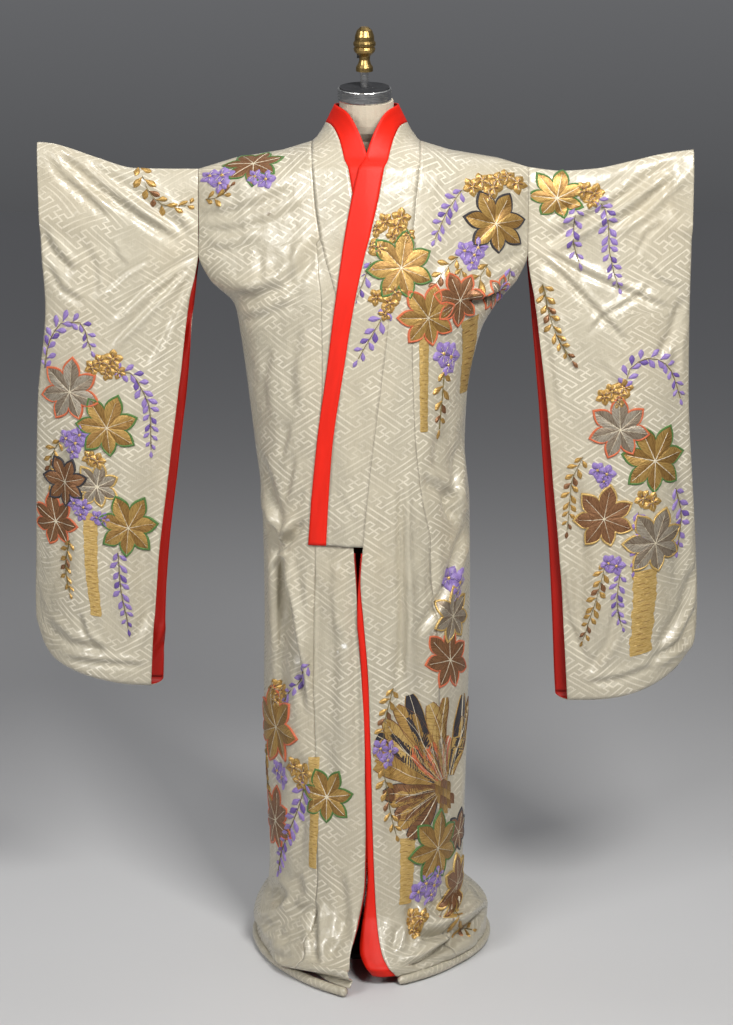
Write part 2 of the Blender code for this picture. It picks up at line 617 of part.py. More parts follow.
def add_torso(finish, home):
    """The padded body of the form, a loft through rings, closed at the hips and the neck."""
    ring = {name: values[:, None] for name, values in columns_of(TORSO_COLUMNS, torso_rows()).items()}
    turn = np.linspace(0, 2 * np.pi, 24, endpoint=False)
    x = ring["width"] * np.sin(turn)
    y = -np.where(np.cos(turn) > 0, ring["front"], ring["back"]) * np.cos(turn)
    points = np.stack([x, y - ring["lean"], ring["z"] + ring["slope"] * y], axis=-1)
    mesh = bmesh.new()
    rings = [[mesh.verts.new(point) for point in ring] for ring in points]
    for low, high in zip(rings, rings[1:]):
        for i in range(len(turn)):
            j = (i + 1) % len(turn)
            mesh.faces.new([low[i], low[j], high[j], high[i]])
    mesh.faces.new(rings[0][::-1])
    mesh.faces.new(rings[-1])
    bmesh.ops.recalc_face_normals(mesh, faces=mesh.faces[:])
    data = bpy.data.meshes.new("form_torso")
    mesh.to_mesh(data)
    mesh.free()
    add_object("form_torso", data, finish, home)


def add_cylinder(name, radius, low, high, finish, home, parent=None, segments=32, bevel=0.0):
    mesh = bmesh.new()
    bmesh.ops.create_cone(
        mesh, cap_ends=True, segments=segments, radius1=radius, radius2=radius, depth=high - low
    )
    bmesh.ops.translate(mesh, verts=mesh.verts, vec=(0, 0, (low + high) / 2))
    data = bpy.data.meshes.new(name)
    mesh.to_mesh(data)
    mesh.free()
    made = add_object(name, data, finish, home)
    made.parent = parent
    if bevel:
        edge = made.modifiers.new("Edge", "BEVEL")
        edge.width = bevel
        edge.segments = 2
        edge.limit_method = "ANGLE"


def add_turned(name, profile, finish, home, parent=None, segments=24):
    """A turned piece: the profile runs down its outer side from the axis to the axis."""
    mesh = bpy.data.meshes.new(name)
    edges = [(i, i + 1) for i in range(len(profile) - 1)]
    mesh.from_pydata([(radius, 0, z) for radius, z in profile], edges, [])
    made = add_object(name, mesh, finish, home)
    made.parent = parent
    turned = made.modifiers.new("Turned", "SCREW")
    turned.steps = turned.render_steps = segments
    turned.use_merge_vertices = True
    turned.merge_threshold = 0.00005
    turned.use_smooth_shade = True
    return made


def main():
    clear_scene()
    home = bpy.data.collections.new("uchikake_on_dress_form")
    bpy.context.scene.collection.children.link(home)
    satin = material("ivory_satin", (0.72, 0.69, 0.58), 0.42)
    scarlet = material("scarlet_lining", (0.80, 0.045, 0.015), 0.5)
    padded = material("padded_hem_satin", (0.74, 0.69, 0.56), 0.45)
    linen = material("form_linen", (0.62, 0.56, 0.45), 0.85)
    steel = material("bright_steel", (0.75, 0.75, 0.74), 0.22, 1.0)
    grey = material("dark_plate", (0.14, 0.14, 0.15), 0.5, 0.6)
    brass = material("brass", (0.55, 0.38, 0.12), 0.35, 1.0)
    enamel = material("black_enamel", (0.02, 0.02, 0.02), 0.4)

    for side, name in SIDE_NAMES.items():
        add_cloth("body_panel_" + name, body_panel_points(side), (0, -1, 0), satin, home)
        add_cloth("overlap_panel_" + name, overlap_panel_points(side), (0, -1, 0), satin, home)
        add_cloth("front_lining_" + name, front_lining_points(side), (0, -1, 0), scarlet, home)
        add_sleeve(side, satin, home)
        add_cloth("sleeve_lining_" + name, sleeve_lining_points(side), (0, 1, 0), scarlet, home)
        add_hem_roll(side, padded, home)

    band, share = collar_points()
    none, all_across = np.zeros(len(band)), np.ones(len(band))
    gap = SEAM_GAP / 0.1
    add_cloth("collar", across_band(band, none, 1 - share - gap, 4), (0, 1, 0), satin, home)
    add_cloth("collar_lining", across_band(band, 1 - share, all_across, 3), (0, 1, 0), scarlet, home)

    add_torso(linen, home)
    head = bpy.data.objects.new("neck_axis", None)
    head.location = CAP_CENTRE
    head.rotation_euler = (NECK_TILT, 0, 0)
    home.objects.link(head)
    plate_low = CAP_HEIGHT + SEAM_GAP
    rod_low = plate_low + PLATE_HEIGHT + SEAM_GAP
    finial_low = rod_low + ROD_LENGTH + SEAM_GAP
    add_cylinder("neck_cap", CAP_RADIUS, SEAM_GAP, CAP_HEIGHT, steel, home, head, bevel=0.0012)
    add_cylinder("neck_plate", PLATE_RADIUS, plate_low, plate_low + PLATE_HEIGHT, grey, home, head)
    add_cylinder("neck_rod", ROD_RADIUS, rod_low, rod_low + ROD_LENGTH, steel, home, head, segments=20)
    finial = add_turned("finial", FINIAL_PROFILE, brass, home, head)
    finial.location = (0, 0, finial_low)
    add_cylinder("pole", POLE_RADIUS, BASE_HEIGHT + SEAM_GAP, TORSO_BOTTOM - SEAM_GAP, steel, home, segments=20)
    add_turned("base", BASE_PROFILE, enamel, home, segments=32)


main()
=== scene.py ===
import math

import bpy
import numpy as np
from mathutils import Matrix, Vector


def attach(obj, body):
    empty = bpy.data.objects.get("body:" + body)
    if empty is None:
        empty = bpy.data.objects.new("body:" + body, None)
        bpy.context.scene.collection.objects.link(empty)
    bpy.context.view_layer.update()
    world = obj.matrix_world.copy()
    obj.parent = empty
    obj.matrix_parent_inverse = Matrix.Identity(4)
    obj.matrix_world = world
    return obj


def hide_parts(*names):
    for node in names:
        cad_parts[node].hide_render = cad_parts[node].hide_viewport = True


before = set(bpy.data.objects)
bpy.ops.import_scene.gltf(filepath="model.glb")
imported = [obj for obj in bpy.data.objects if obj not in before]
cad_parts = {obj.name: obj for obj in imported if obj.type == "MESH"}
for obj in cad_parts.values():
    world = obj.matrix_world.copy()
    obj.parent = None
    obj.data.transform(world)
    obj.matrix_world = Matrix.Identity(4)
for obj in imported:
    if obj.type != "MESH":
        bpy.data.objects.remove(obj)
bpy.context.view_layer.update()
print("frame loaded")

# The view: the camera stands in front, a little above the shoulders, and looks down.
viewFacts = {"distance": 4.4, "height": 1.78, "pitch": math.radians(10.9), "focal": 2156.0,
             "middle": (366.5, 512.5)}


def toView(points):
    # Pixel of each point in the 733 by 1025 view: the point turned into the camera's axes, then divided by
    # its depth.
    ahead = points[..., 1] + viewFacts["distance"]
    below = viewFacts["height"] - points[..., 2]
    pitch = viewFacts["pitch"]
    depth = ahead * math.cos(pitch) + below * math.sin(pitch)
    down = below * math.cos(pitch) - ahead * math.sin(pitch)
    scale = viewFacts["focal"] / depth
    return viewFacts["middle"][0] + scale * points[..., 0], viewFacts["middle"][1] + scale * down


def makeCamera():
    lens = bpy.data.cameras.new("camera")
    lens.sensor_width = 36
    lens.lens = viewFacts["focal"] / 1025 * lens.sensor_width
    camera = bpy.data.objects.new("camera", lens)
    camera.location = (0, -viewFacts["distance"], viewFacts["height"])
    camera.rotation_euler = (math.pi / 2 - viewFacts["pitch"], 0, 0)
    bpy.context.scene.collection.objects.link(camera)
    bpy.context.scene.camera = camera
    bpy.context.scene.view_settings.view_transform = "Standard"


lightFacts = [
    {"name": "keyLight", "place": (1.1, -2.6, 3.2), "aim": 1.55, "spread": 130, "size": 1.1, "power": 70,
     "colour": (1.0, 0.985, 0.95)},
    {"name": "fillLight", "place": (-2.2, -2.8, 2.9), "aim": 1.45, "spread": 140, "size": 1.5, "power": 48,
     "colour": (1.0, 0.99, 0.97)},
    {"name": "topLight", "place": (0.2, 0.8, 4.2), "aim": 1.0, "spread": 180, "size": 2.4, "power": 26,
     "colour": (1.0, 1.0, 1.0)},
]
roomFacts = {"floorColour": (0.60, 0.60, 0.61), "skyColour": (0.60, 0.61, 0.64), "skyPower": 0.22,
             "floorHalf": 30.0,
             "skyFade": (-0.052, 0.05), "farShare": 0.64}


def makeStudio():
    for light in lightFacts:
        data = bpy.data.lights.new(light["name"], "AREA")
        data.energy = light["power"]
        data.size = light["size"]
        data.spread = math.radians(light["spread"])
        data.color = light["colour"]
        made = bpy.data.objects.new(light["name"], data)
        made.location = light["place"]
        toward = np.array([0, 0, light["aim"]]) - np.array(light["place"])
        made.rotation_euler = (
            math.atan2(math.hypot(toward[0], toward[1]), -toward[2]),
            0,
            math.atan2(toward[1], toward[0]) - math.pi / 2,
        )
        bpy.context.scene.collection.objects.link(made)
    world = bpy.data.worlds.new("studio")
    world.use_nodes = True
    world.node_tree.nodes["Background"].inputs[0].default_value = (*roomFacts["skyColour"], 1)
    tree = world.node_tree  # the sky darkens toward the far floor, so that the two meet without a line
    way = addNode(tree, "ShaderNodeTexCoord").outputs["Generated"]
    level = addNode(tree, "ShaderNodeSeparateXYZ", {0: way}).outputs[2]
    power = spanned(tree, level, *roomFacts["skyFade"], roomFacts["skyPower"] * roomFacts["farShare"],
                    roomFacts["skyPower"])
    tree.links.new(power, tree.nodes["Background"].inputs[1])
    bpy.context.scene.world = world
    half = roomFacts["floorHalf"]
    mesh = bpy.data.meshes.new("floor")
    mesh.from_pydata([(-half, -half, 0), (half, -half, 0), (half, half, 0), (-half, half, 0)], [],
                     [(0, 1, 2, 3)])
    floor = bpy.data.objects.new("floor", mesh)
    bpy.context.scene.collection.objects.link(floor)
    finish, tree, shader = newMaterial("paleFloor")
    shader.inputs["Base Color"].default_value = (*roomFacts["floorColour"], 1)
    shader.inputs["Roughness"].default_value = 0.8
    mesh.materials.append(finish)


def newMaterial(name):
    made = bpy.data.materials.new(name)
    made.use_nodes = True
    return made, made.node_tree, made.node_tree.nodes["Principled BSDF"]


def addNode(tree, kind, feeds=(), **settings):
    # A node with its settings, and with each named or numbered input set or linked.
    node = tree.nodes.new(kind)
    for name, value in settings.items():
        setattr(node, name, value)
    for name, value in dict(feeds).items():
        if isinstance(value, bpy.types.NodeSocket):
            tree.links.new(value, node.inputs[name])
        else:
            node.inputs[name].default_value = value
    return node


def calc(tree, operation, *values):
    # The result of one sum on numbers or sockets.
    return addNode(tree, "ShaderNodeMath", dict(enumerate(values)), operation=operation).outputs[0]


def blendColours(tree, share, low, high, kind="MIX"):
    node = addNode(tree, "ShaderNodeMix", {0: share, 6: low, 7: high}, data_type="RGBA", blend_type=kind)
    return node.outputs[2]


def newGroup(name, inputs, outputs):
    # A shader node group with named inputs (kind, first value) and outputs (kind).
    group = bpy.data.node_groups.new(name, "ShaderNodeTree")
    for label, (kind, value) in inputs.items():
        socket = group.interface.new_socket(label, in_out="INPUT", socket_type="NodeSocket" + kind)
        if value is not None:
            socket.default_value = value
    for label, kind in outputs.items():
        group.interface.new_socket(label, in_out="OUTPUT", socket_type="NodeSocket" + kind)
    return group, group.nodes.new("NodeGroupInput").outputs, group.nodes.new("NodeGroupOutput").inputs


def useGroup(tree, group, feeds):
    node = addNode(tree, "ShaderNodeGroup", node_tree=group)
    for name, value in feeds.items():
        if isinstance(value, bpy.types.NodeSocket):
            tree.links.new(value, node.inputs[name])
        else:
            node.inputs[name].default_value = value
    return node.outputs


def rgba(*colour):
    return (*colour, 1.0)


# The woven key fret: hooked crosses five steps apart, each joined to its neighbours by a long hooked arm.
fretFacts = {"step": 0.0120, "slant": math.radians(33), "line": 0.27, "arm": "NWNEEEEEEESWS"}


def fretChart():
    # Which steps of the lattice carry a line, over one repeat of 10 by 5: the arm is walked from a cross in
    # each of the four directions, each walk turned a quarter from the last.
    moves = {"N": (0, 1), "S": (0, -1), "E": (1, 0), "W": (-1, 0)}
    level, upright = np.zeros((5, 10), bool), np.zeros((5, 10), bool)
    for quarter in range(4):
        x, y = 0, 0
        for move in fretFacts["arm"]:
            dx, dy = moves[move]
            for _ in range(quarter):
                dx, dy = -dy, dx
            lowX, lowY = min(x, x + dx), min(y, y + dy)
            chart = level if dx else upright
            chart[lowY % 5, (lowX - 5 * (lowY // 5)) % 10] = True
            x, y = x + dx, y + dy
    return level, upright


def makeFretGroup():
    # Mask of the fret's lines from cloth coordinates in metres: lattice axes at plus and minus the slant,
    # folded into one repeat, then read from the chart one row at a time.
    group, given, wanted = newGroup(
        "keyFret", {"Cloth": ("Vector", None)}, {"Line": "Float"}
    )
    level, upright = fretChart()
    line, step, slant = fretFacts["line"], fretFacts["step"], fretFacts["slant"]
    parts = addNode(group, "ShaderNodeSeparateXYZ", {0: given["Cloth"]}).outputs
    across = calc(group, "MULTIPLY", parts[0], 1 / (2 * step * math.cos(slant)))
    along = calc(group, "MULTIPLY", parts[1], 1 / (2 * step * math.sin(slant)))
    far = 1000 + line / 2
    x = calc(group, "ADD", calc(group, "ADD", along, across), far)
    y = calc(group, "ADD", calc(group, "SUBTRACT", along, across), far)
    band = calc(group, "FLOOR", calc(group, "DIVIDE", y, 5.0))
    shifted = calc(group, "SUBTRACT", x, calc(group, "MULTIPLY", band, 5.0))
    place = calc(group, "FRACT", calc(group, "DIVIDE", shifted, 10.0))
    inRepeat = calc(group, "SUBTRACT", y, calc(group, "MULTIPLY", band, 5.0))
    row = calc(group, "FLOOR", inRepeat)
    onKnots = calc(group, "LESS_THAN", calc(group, "SUBTRACT", inRepeat, row), line)
    total = 0.0
    for k in range(5):
        knots = level[k] | np.roll(level[k], 1) | upright[k] | upright[k - 1] if k else None
        if k == 0:
            knots = level[0] | np.roll(level[0], 1) | upright[0] | np.roll(upright[4], 5)
        onRow = readRow(group, place, np.stack([knots, level[k]], axis=1).ravel(), line)
        between = readRow(group, place, np.stack([upright[k], np.zeros(10, bool)], axis=1).ravel(), line)
        picked = addNode(group, "ShaderNodeMix", {0: onKnots, 2: between, 3: onRow},
                         data_type="FLOAT").outputs[0]
        here = calc(group, "COMPARE", row, float(k), 0.2)
        total = calc(group, "MULTIPLY_ADD", picked, here, total)
    group.links.new(total, wanted["Line"])
    return group


def readRow(group, place, cells, line):
    # One row of the chart as a stepped ramp over ten steps, each a narrow knot cell and a wide cell.
    ramp = addNode(group, "ShaderNodeValToRGB", {0: place})
    ramp.color_ramp.interpolation = "CONSTANT"
    stops = ramp.color_ramp.elements
    starts = [(i // 2 + (line if i % 2 else 0)) / 10 for i in range(20)]
    changes = [i for i in range(20) if i == 0 or cells[i] != cells[i - 1]]
    while len(stops) > 1:
        stops.remove(stops[-1])
    stops[0].position = 0
    stops[0].color = rgba(*[float(cells[0])] * 3)
    for i in changes[1:]:
        stops.new(starts[i]).color = rgba(*[float(cells[i])] * 3)
    return ramp.outputs[0]


satinFacts = {
    "ground": (0.430, 0.390, 0.298),
    "line": (0.690, 0.640, 0.525),
    "warm": (0.500, 0.420, 0.285),
    "groundRoughness": 0.38,
    "lineRoughness": 0.24,
    "relief": 0.00032,
    "crumple": 0.0085,
    "ripple": 0.0016,
    "grain": 0.00003,
}


def stretchedNoise(tree, place, scale, detail):
    # Noise over cloth coordinates, with its own scale across and along the cloth.
    spread = addNode(tree, "ShaderNodeMapping", {"Vector": place, "Scale": (*scale, 1)}).outputs[0]
    return addNode(tree, "ShaderNodeTexNoise", {"Vector": spread, "Scale": 1.0, "Detail": detail}).outputs[0]


def spanned(tree, value, low, high, first=0.0, last=1.0):
    # The value's place between low and high, as a number from first to last.
    return addNode(tree, "ShaderNodeMapRange", {0: value, 1: low, 2: high, 3: first, 4: last}).outputs[0]


# Small marks on the fronts: where in the view, radius in metres, strength, and whether dark or pale.
markFacts = [
    ((269, 215), 0.0055, 0.75, "dark"),
    ((332, 478), 0.0030, 0.65, "dark"),
    ((354, 861), 0.0045, 0.55, "dark"),
    ((285, 640), 0.0040, 0.30, "dark"),
    ((344, 646), 0.0070, 0.80, "pale"),
    ((349, 641), 0.0040, 0.70, "pale"),
    ((338, 652), 0.0035, 0.60, "pale"),
    ((275, 905), 0.0200, 0.28, "dark"),
    ((302, 948), 0.0180, 0.22, "dark"),
    ((360, 240), 0.0150, 0.15, "dark"),
]
markColours = {"dark": (0.170, 0.125, 0.080), "pale": (0.900, 0.900, 0.880)}


def makeMarksGroup(spots):
    # Masks of the small marks: for each the distance to its place, roughened by noise, fading to nothing at
    # its radius.
    group, given, wanted = newGroup("smallMarks", {"Place": ("Vector", None)},
                                    {"dark": "Float", "pale": "Float"})
    rough = addNode(group, "ShaderNodeTexNoise",
                    {"Vector": given["Place"], "Scale": 420.0, "Detail": 3.0}).outputs[0]
    totals = {"dark": 0.0, "pale": 0.0}
    for spot, (_, radius, strength, kind) in zip(spots, markFacts):
        away = addNode(group, "ShaderNodeVectorMath", {0: given["Place"], 1: tuple(spot)},
                       operation="DISTANCE").outputs[1]
        away = calc(group, "MULTIPLY_ADD", calc(group, "SUBTRACT", rough, 0.5), radius * 2.2, away)
        mask = spanned(group, away, radius * 0.35, radius, strength, 0.0)
        totals[kind] = calc(group, "MAXIMUM", mask, totals[kind])
    for kind, total in totals.items():
        group.links.new(total, wanted[kind])
    return group


def makeSatin(fret, marks):
    finish, tree, shader = newMaterial("ivorySatin")
    cloth = addNode(tree, "ShaderNodeUVMap", uv_map="cloth").outputs[0]
    line = useGroup(tree, fret, {"Cloth": cloth})["Line"]
    streak = stretchedNoise(tree, cloth, (900, 40), 2.0)
    cloud = stretchedNoise(tree, cloth, (5, 3), 3.0)
    fading = stretchedNoise(tree, cloth, (11, 8), 2.0)
    crumple = stretchedNoise(tree, cloth, (15, 11), 1.5)
    ripple = stretchedNoise(tree, cloth, (60, 42), 2.0)
    shown = calc(tree, "MULTIPLY", line, spanned(tree, fading, 0.36, 0.60, 0.30, 1.0))
    colour = blendColours(tree, shown, rgba(*satinFacts["ground"]), rgba(*satinFacts["line"]))
    colour = blendColours(tree, spanned(tree, cloud, 0.45, 0.75, 0.0, 0.35), colour,
                          rgba(*satinFacts["warm"]))
    colour = blendColours(tree, 1.0, colour, spanned(tree, streak, 0.3, 0.7, 0.93, 1.04), "MULTIPLY")
    place = addNode(tree, "ShaderNodeTexCoord").outputs["Object"]
    marked = useGroup(tree, marks, {"Place": place})
    for kind, tint in markColours.items():
        colour = blendColours(tree, marked[kind], colour, rgba(*tint))
    tree.links.new(colour, shader.inputs["Base Color"])
    rough = spanned(tree, line, 0.0, 1.0, satinFacts["groundRoughness"], satinFacts["lineRoughness"])
    tree.links.new(rough, shader.inputs["Roughness"])
    height = calc(tree, "MULTIPLY", line, satinFacts["relief"])
    height = calc(tree, "MULTIPLY_ADD", streak, satinFacts["grain"], height)
    height = calc(tree, "MULTIPLY_ADD", crumple, satinFacts["crumple"], height)
    height = calc(tree, "MULTIPLY_ADD", ripple, satinFacts["ripple"], height)
    bump = addNode(tree, "ShaderNodeBump", {"Height": height, "Distance": 1.0, "Strength": 1.0})
    tree.links.new(bump.outputs[0], shader.inputs["Normal"])
    shader.inputs["Specular IOR Level"].default_value = 0.8
    shader.inputs["Sheen Weight"].default_value = 0.10
    shader.inputs["Sheen Roughness"].default_value = 0.4
    return finish


# The red silk: its colour and a deeper tone for the slubs. inner is a darker copy of the red, painted shade
# for the lining inside the sleeves and behind the wearer's right front edge.
scarletFacts = {"colour": (0.680, 0.013, 0.003), "deep": (0.460, 0.008, 0.002),
                "inner": (0.330, 0.006, 0.002), "roughness": 0.5}


def makeScarlet(name, colour, deep):
    finish, tree, shader = newMaterial(name)
    cloth = addNode(tree, "ShaderNodeUVMap", uv_map="cloth").outputs[0]
    place = addNode(tree, "ShaderNodeMapping", {"Vector": cloth, "Scale": (60, 9, 1)}).outputs[0]
    slub = addNode(tree, "ShaderNodeTexNoise", {"Vector": place, "Scale": 1.0, "Detail": 4.0}).outputs[0]
    weftPlace = addNode(tree, "ShaderNodeMapping", {"Vector": cloth, "Scale": (300, 1400, 1)}).outputs[0]
    weft = addNode(tree, "ShaderNodeTexNoise", {"Vector": weftPlace, "Scale": 1.0, "Detail": 1.0}).outputs[0]
    share = addNode(tree, "ShaderNodeMapRange", {0: slub, 1: 0.35, 2: 0.65, 3: 0.0, 4: 0.35}).outputs[0]
    colour = blendColours(tree, share, rgba(*colour), rgba(*deep))
    tree.links.new(colour, shader.inputs["Base Color"])
    shader.inputs["Roughness"].default_value = scarletFacts["roughness"]
    height = calc(tree, "MULTIPLY_ADD", slub, 2.0, weft)
    bump = addNode(tree, "ShaderNodeBump", {"Height": height, "Distance": 0.00025, "Strength": 1.0})
    tree.links.new(bump.outputs[0], shader.inputs["Normal"])
    shader.inputs["Specular IOR Level"].default_value = 0.28
    return finish


def makePadded(fret, marks):
    # The hem roll's satin: the same cloth, with soft puckers over the wadding.
    finish = makeSatin(fret, marks)
    finish.name = "paddedHemSatin"
    tree, shader = finish.node_tree, finish.node_tree.nodes["Principled BSDF"]
    for node in tree.nodes:
        if node.type == "BUMP":
            cloth = addNode(tree, "ShaderNodeUVMap", uv_map="cloth").outputs[0]
            place = addNode(tree, "ShaderNodeMapping", {"Vector": cloth, "Scale": (30, 90, 1)}).outputs[0]
            pucker = addNode(tree, "ShaderNodeTexNoise",
                             {"Vector": place, "Scale": 1.0, "Detail": 2.0}).outputs[0]
            soft = addNode(tree, "ShaderNodeBump", {"Height": pucker, "Distance": 0.003, "Strength": 1.0})
            tree.links.new(soft.outputs[0], node.inputs["Normal"])
    return finish


clothFacts = {
    "wall": 0.002,
    "seamGap": 0.0001,
    "seamValley": 0.0006,
    "shoulderLevel": 1.66,
    "shoulderRounding": 0.06,
    "underCollar": 1.3,
    "slopeLevel": 1.36,
    "lapDepth": 0.005,
    "lapReach": 0.19,
    "lapFade": 0.07,
    "frontsBlend": 0.06,
    "foldFadeTurn": 0.35,
    "overlapTop": 1.49,
    "collarEnd": 0.893,
    "collarNeck": 1.61,
    "hem": 0.0212,
    "liningOffset": 0.0026,
    "facingDepth": 0.0042,
}
# How far the red lining shows past the front edges: a strip on the left front that flares at the floor.
liningShown = {"least": 0.003, "strip": 0.012, "from": 0.84, "fade": 0.12, "foot": 0.042, "flare": 0.22,
               "bend": 0.45,
               "foot_right": 0.085, "foot_left": 0.0}  # lowest level of each strip
sleeveFacts = {
    "top": 1.64,
    "bottom": 0.56,
    "bottomRounding": 0.012,
    "halfDepth": 0.018,
    "edgeHalfDepth": 0.0045,
    "riseLevel": 1.30,
    "liftLevel": 1.00,
    "wristOpening": 1.476,
    "wristFade": 0.03,
}
# The body by level: half widths, front depths at the middle, back depth, where the sides lie,
# how full the front, back and sides curve, and half the parting between front and back edges.
bodyColumns = (
    "level right left frontRight frontLeft back sideY full fullBack fullSide parting"
).split()
bodyRows = [
    (1.7, 0.338, 0.326, 0.118, 0.118, 0.105, 0.0, 1.45, 1.7, 1.25, 0.018),
    (1.6, 0.338, 0.326, 0.138, 0.138, 0.12, 0.0, 1.45, 1.7, 1.25, 0.018),
    (1.54, 0.338, 0.326, 0.15, 0.15, 0.124, 0.0, 1.45, 1.7, 1.25, 0.018),
    (1.476, 0.34, 0.326, 0.158, 0.158, 0.126, 0.0, 1.5, 1.7, 1.3, 0.018),
    (1.42, 0.318, 0.306, 0.162, 0.162, 0.127, 0.0, 1.7, 1.9, 1.6, 0.02),
    (1.364, 0.268, 0.262, 0.165, 0.165, 0.128, 0.002, 2.0, 2.2, 2.0, 0.00015),
    (1.31, 0.258, 0.233, 0.166, 0.166, 0.129, 0.004, 2.1, 2.3, 2.0, 0.00015),
    (1.17, 0.24, 0.206, 0.168, 0.166, 0.13, 0.006, 2.2, 2.4, 2.0, 0.00015),
    (1.08, 0.23, 0.203, 0.168, 0.166, 0.132, 0.008, 2.2, 2.4, 2.0, 0.00015),
    (0.96, 0.217, 0.214, 0.17, 0.168, 0.138, 0.01, 2.1, 2.3, 2.0, 0.00015),
    (0.75, 0.214, 0.217, 0.178, 0.174, 0.152, 0.012, 2.0, 2.2, 2.0, 0.00015),
    (0.53, 0.217, 0.215, 0.19, 0.184, 0.17, 0.014, 1.9, 2.1, 2.0, 0.00015),
    (0.31, 0.21, 0.21, 0.208, 0.2, 0.196, 0.016, 1.75, 2.0, 2.0, 0.00015),
    (0.19, 0.208, 0.207, 0.228, 0.216, 0.222, 0.018, 1.6, 1.9, 2.0, 0.00015),
    (0.13, 0.211, 0.206, 0.25, 0.232, 0.244, 0.02, 1.5, 1.9, 2.0, 0.00015),
    (0.1, 0.226, 0.234, 0.28, 0.254, 0.262, 0.022, 1.42, 1.9, 2.0, 0.00015),
    (0.07, 0.24, 0.262, 0.31, 0.278, 0.28, 0.024, 1.36, 1.9, 2.0, 0.00015),
    (0.05, 0.244, 0.262, 0.348, 0.298, 0.29, 0.027, 1.32, 1.9, 2.0, 0.00015),
    (0.036, 0.238, 0.26, 0.371, 0.314, 0.296, 0.028, 1.3, 1.9, 2.0, 0.00015),
    (0.02, 0.238, 0.26, 0.371, 0.314, 0.296, 0.028, 1.3, 1.9, 2.0, 0.00015),
]

# Distances from the middle, toward the wearer's own side: the collar seam and, below the collar,
# the front edge, then the seam between the overlap panel and the body panel.
edgeColumns = "level edgeLeft edgeRight seamLeft seamRight".split()
edgeRows = [
    (1.66, 0.108, 0.11, 0.108, 0.11),
    (1.6, 0.103, 0.106, 0.103, 0.106),
    (1.565, 0.098, 0.103, 0.1, 0.104),
    (1.5, 0.09, 0.093, 0.0965, 0.1),
    (1.467, 0.076, 0.084, 0.094, 0.098),
    (1.38, 0.05, 0.058, 0.09, 0.089),
    (1.248, 0.033, 0.042, 0.092, 0.088),
    (1.113, 0.016, 0.028, 0.098, 0.09),
    (0.985, 0.001, 0.024, 0.113, 0.098),
    (0.893, -0.007, 0.026, 0.131, 0.104),
    (0.82, -0.012, 0.022, 0.134, 0.105),
    (0.745, -0.006, 0.019, 0.141, 0.107),
    (0.62, 0.004, 0.011, 0.151, 0.108),
    (0.53, 0.007, 0.006, 0.15, 0.108),
    (0.44, 0.01, 0.004, 0.148, 0.105),
    (0.31, 0.013, 0.002, 0.148, 0.102),
    (0.2, 0.017, 0.004, 0.15, 0.102),
    (0.12, 0.022, 0.018, 0.16, 0.11),
    (0.065, 0.032, 0.034, 0.172, 0.125),
    (0.02, 0.062, 0.036, 0.182, 0.138),
]

# Free edge of the wide collar by level, past the middle, and the share of its width that is red.
collarColumns = "level tip redShare".split()
collarRows = [
    (1.62, -0.012, 0.42),
    (1.565, -0.027, 0.42),
    (1.5, -0.042, 0.38),
    (1.38, -0.062, 0.34),
    (1.248, -0.079, 0.3),
    (1.113, -0.098, 0.28),
    (0.985, -0.111, 0.31),
    (0.893, -0.118, 0.33),
]

# The collar's free edge round the neck, from the side front to the middle of the back, one row
# for each row of the panels that it is sewn to.
neckColumns = "tipX tipY tipZ redShare".split()
neckRows = [
    (-0.004, -0.124, 1.662, 0.42),
    (0.006, -0.113, 1.69, 0.42),
    (0.02, -0.1, 1.722, 0.43),
    (0.04, -0.076, 1.752, 0.45),
    (0.056, -0.048, 1.762, 0.46),
    (0.064, -0.024, 1.767, 0.48),
    (0.058, 0.024, 1.769, 0.5),
    (0.0, 0.056, 1.768, 0.5),
]
neckDrop = 0.0214

# Height of the shoulder line by distance from the middle.
shoulderLine = [(0.0, 1.702), (0.108, 1.695), (0.168, 1.677), (0.21, 1.67), (0.265, 1.661), (0.34, 1.638)]

# Largest folds in the body cloth: side, face, distance from the middle at top and bottom, the
# stretch of levels, width and depth. A positive depth is a trough.
foldColumns = "side face xTop xBottom top bottom width depth".split()
foldRows = [
    (-1, -1, 0.172, 0.176, 0.93, 0.42, 0.012, 0.022),
    (-1, -1, 0.135, 0.15, 0.84, 0.12, 0.018, -0.008),
    (-1, -1, 0.07, 0.08, 1.3, 0.2, 0.022, 0.008),
    (1, -1, 0.16, 0.178, 1.18, 0.86, 0.016, 0.014),
    (1, -1, 0.06, 0.066, 1.0, 0.16, 0.018, 0.009),
    (1, -1, 0.112, 0.098, 0.9, 0.18, 0.016, -0.007),
    (1, -1, 0.185, 0.188, 0.62, 0.12, 0.014, 0.012),
    (1, 1, 0.07, 0.11, 1.2, 0.1, 0.024, 0.012),
    (1, 1, 0.15, 0.175, 1.0, 0.12, 0.018, 0.012),
    (-1, 1, 0.08, 0.12, 1.15, 0.1, 0.024, 0.012),
    (-1, 1, 0.16, 0.18, 0.95, 0.12, 0.018, 0.012),
]

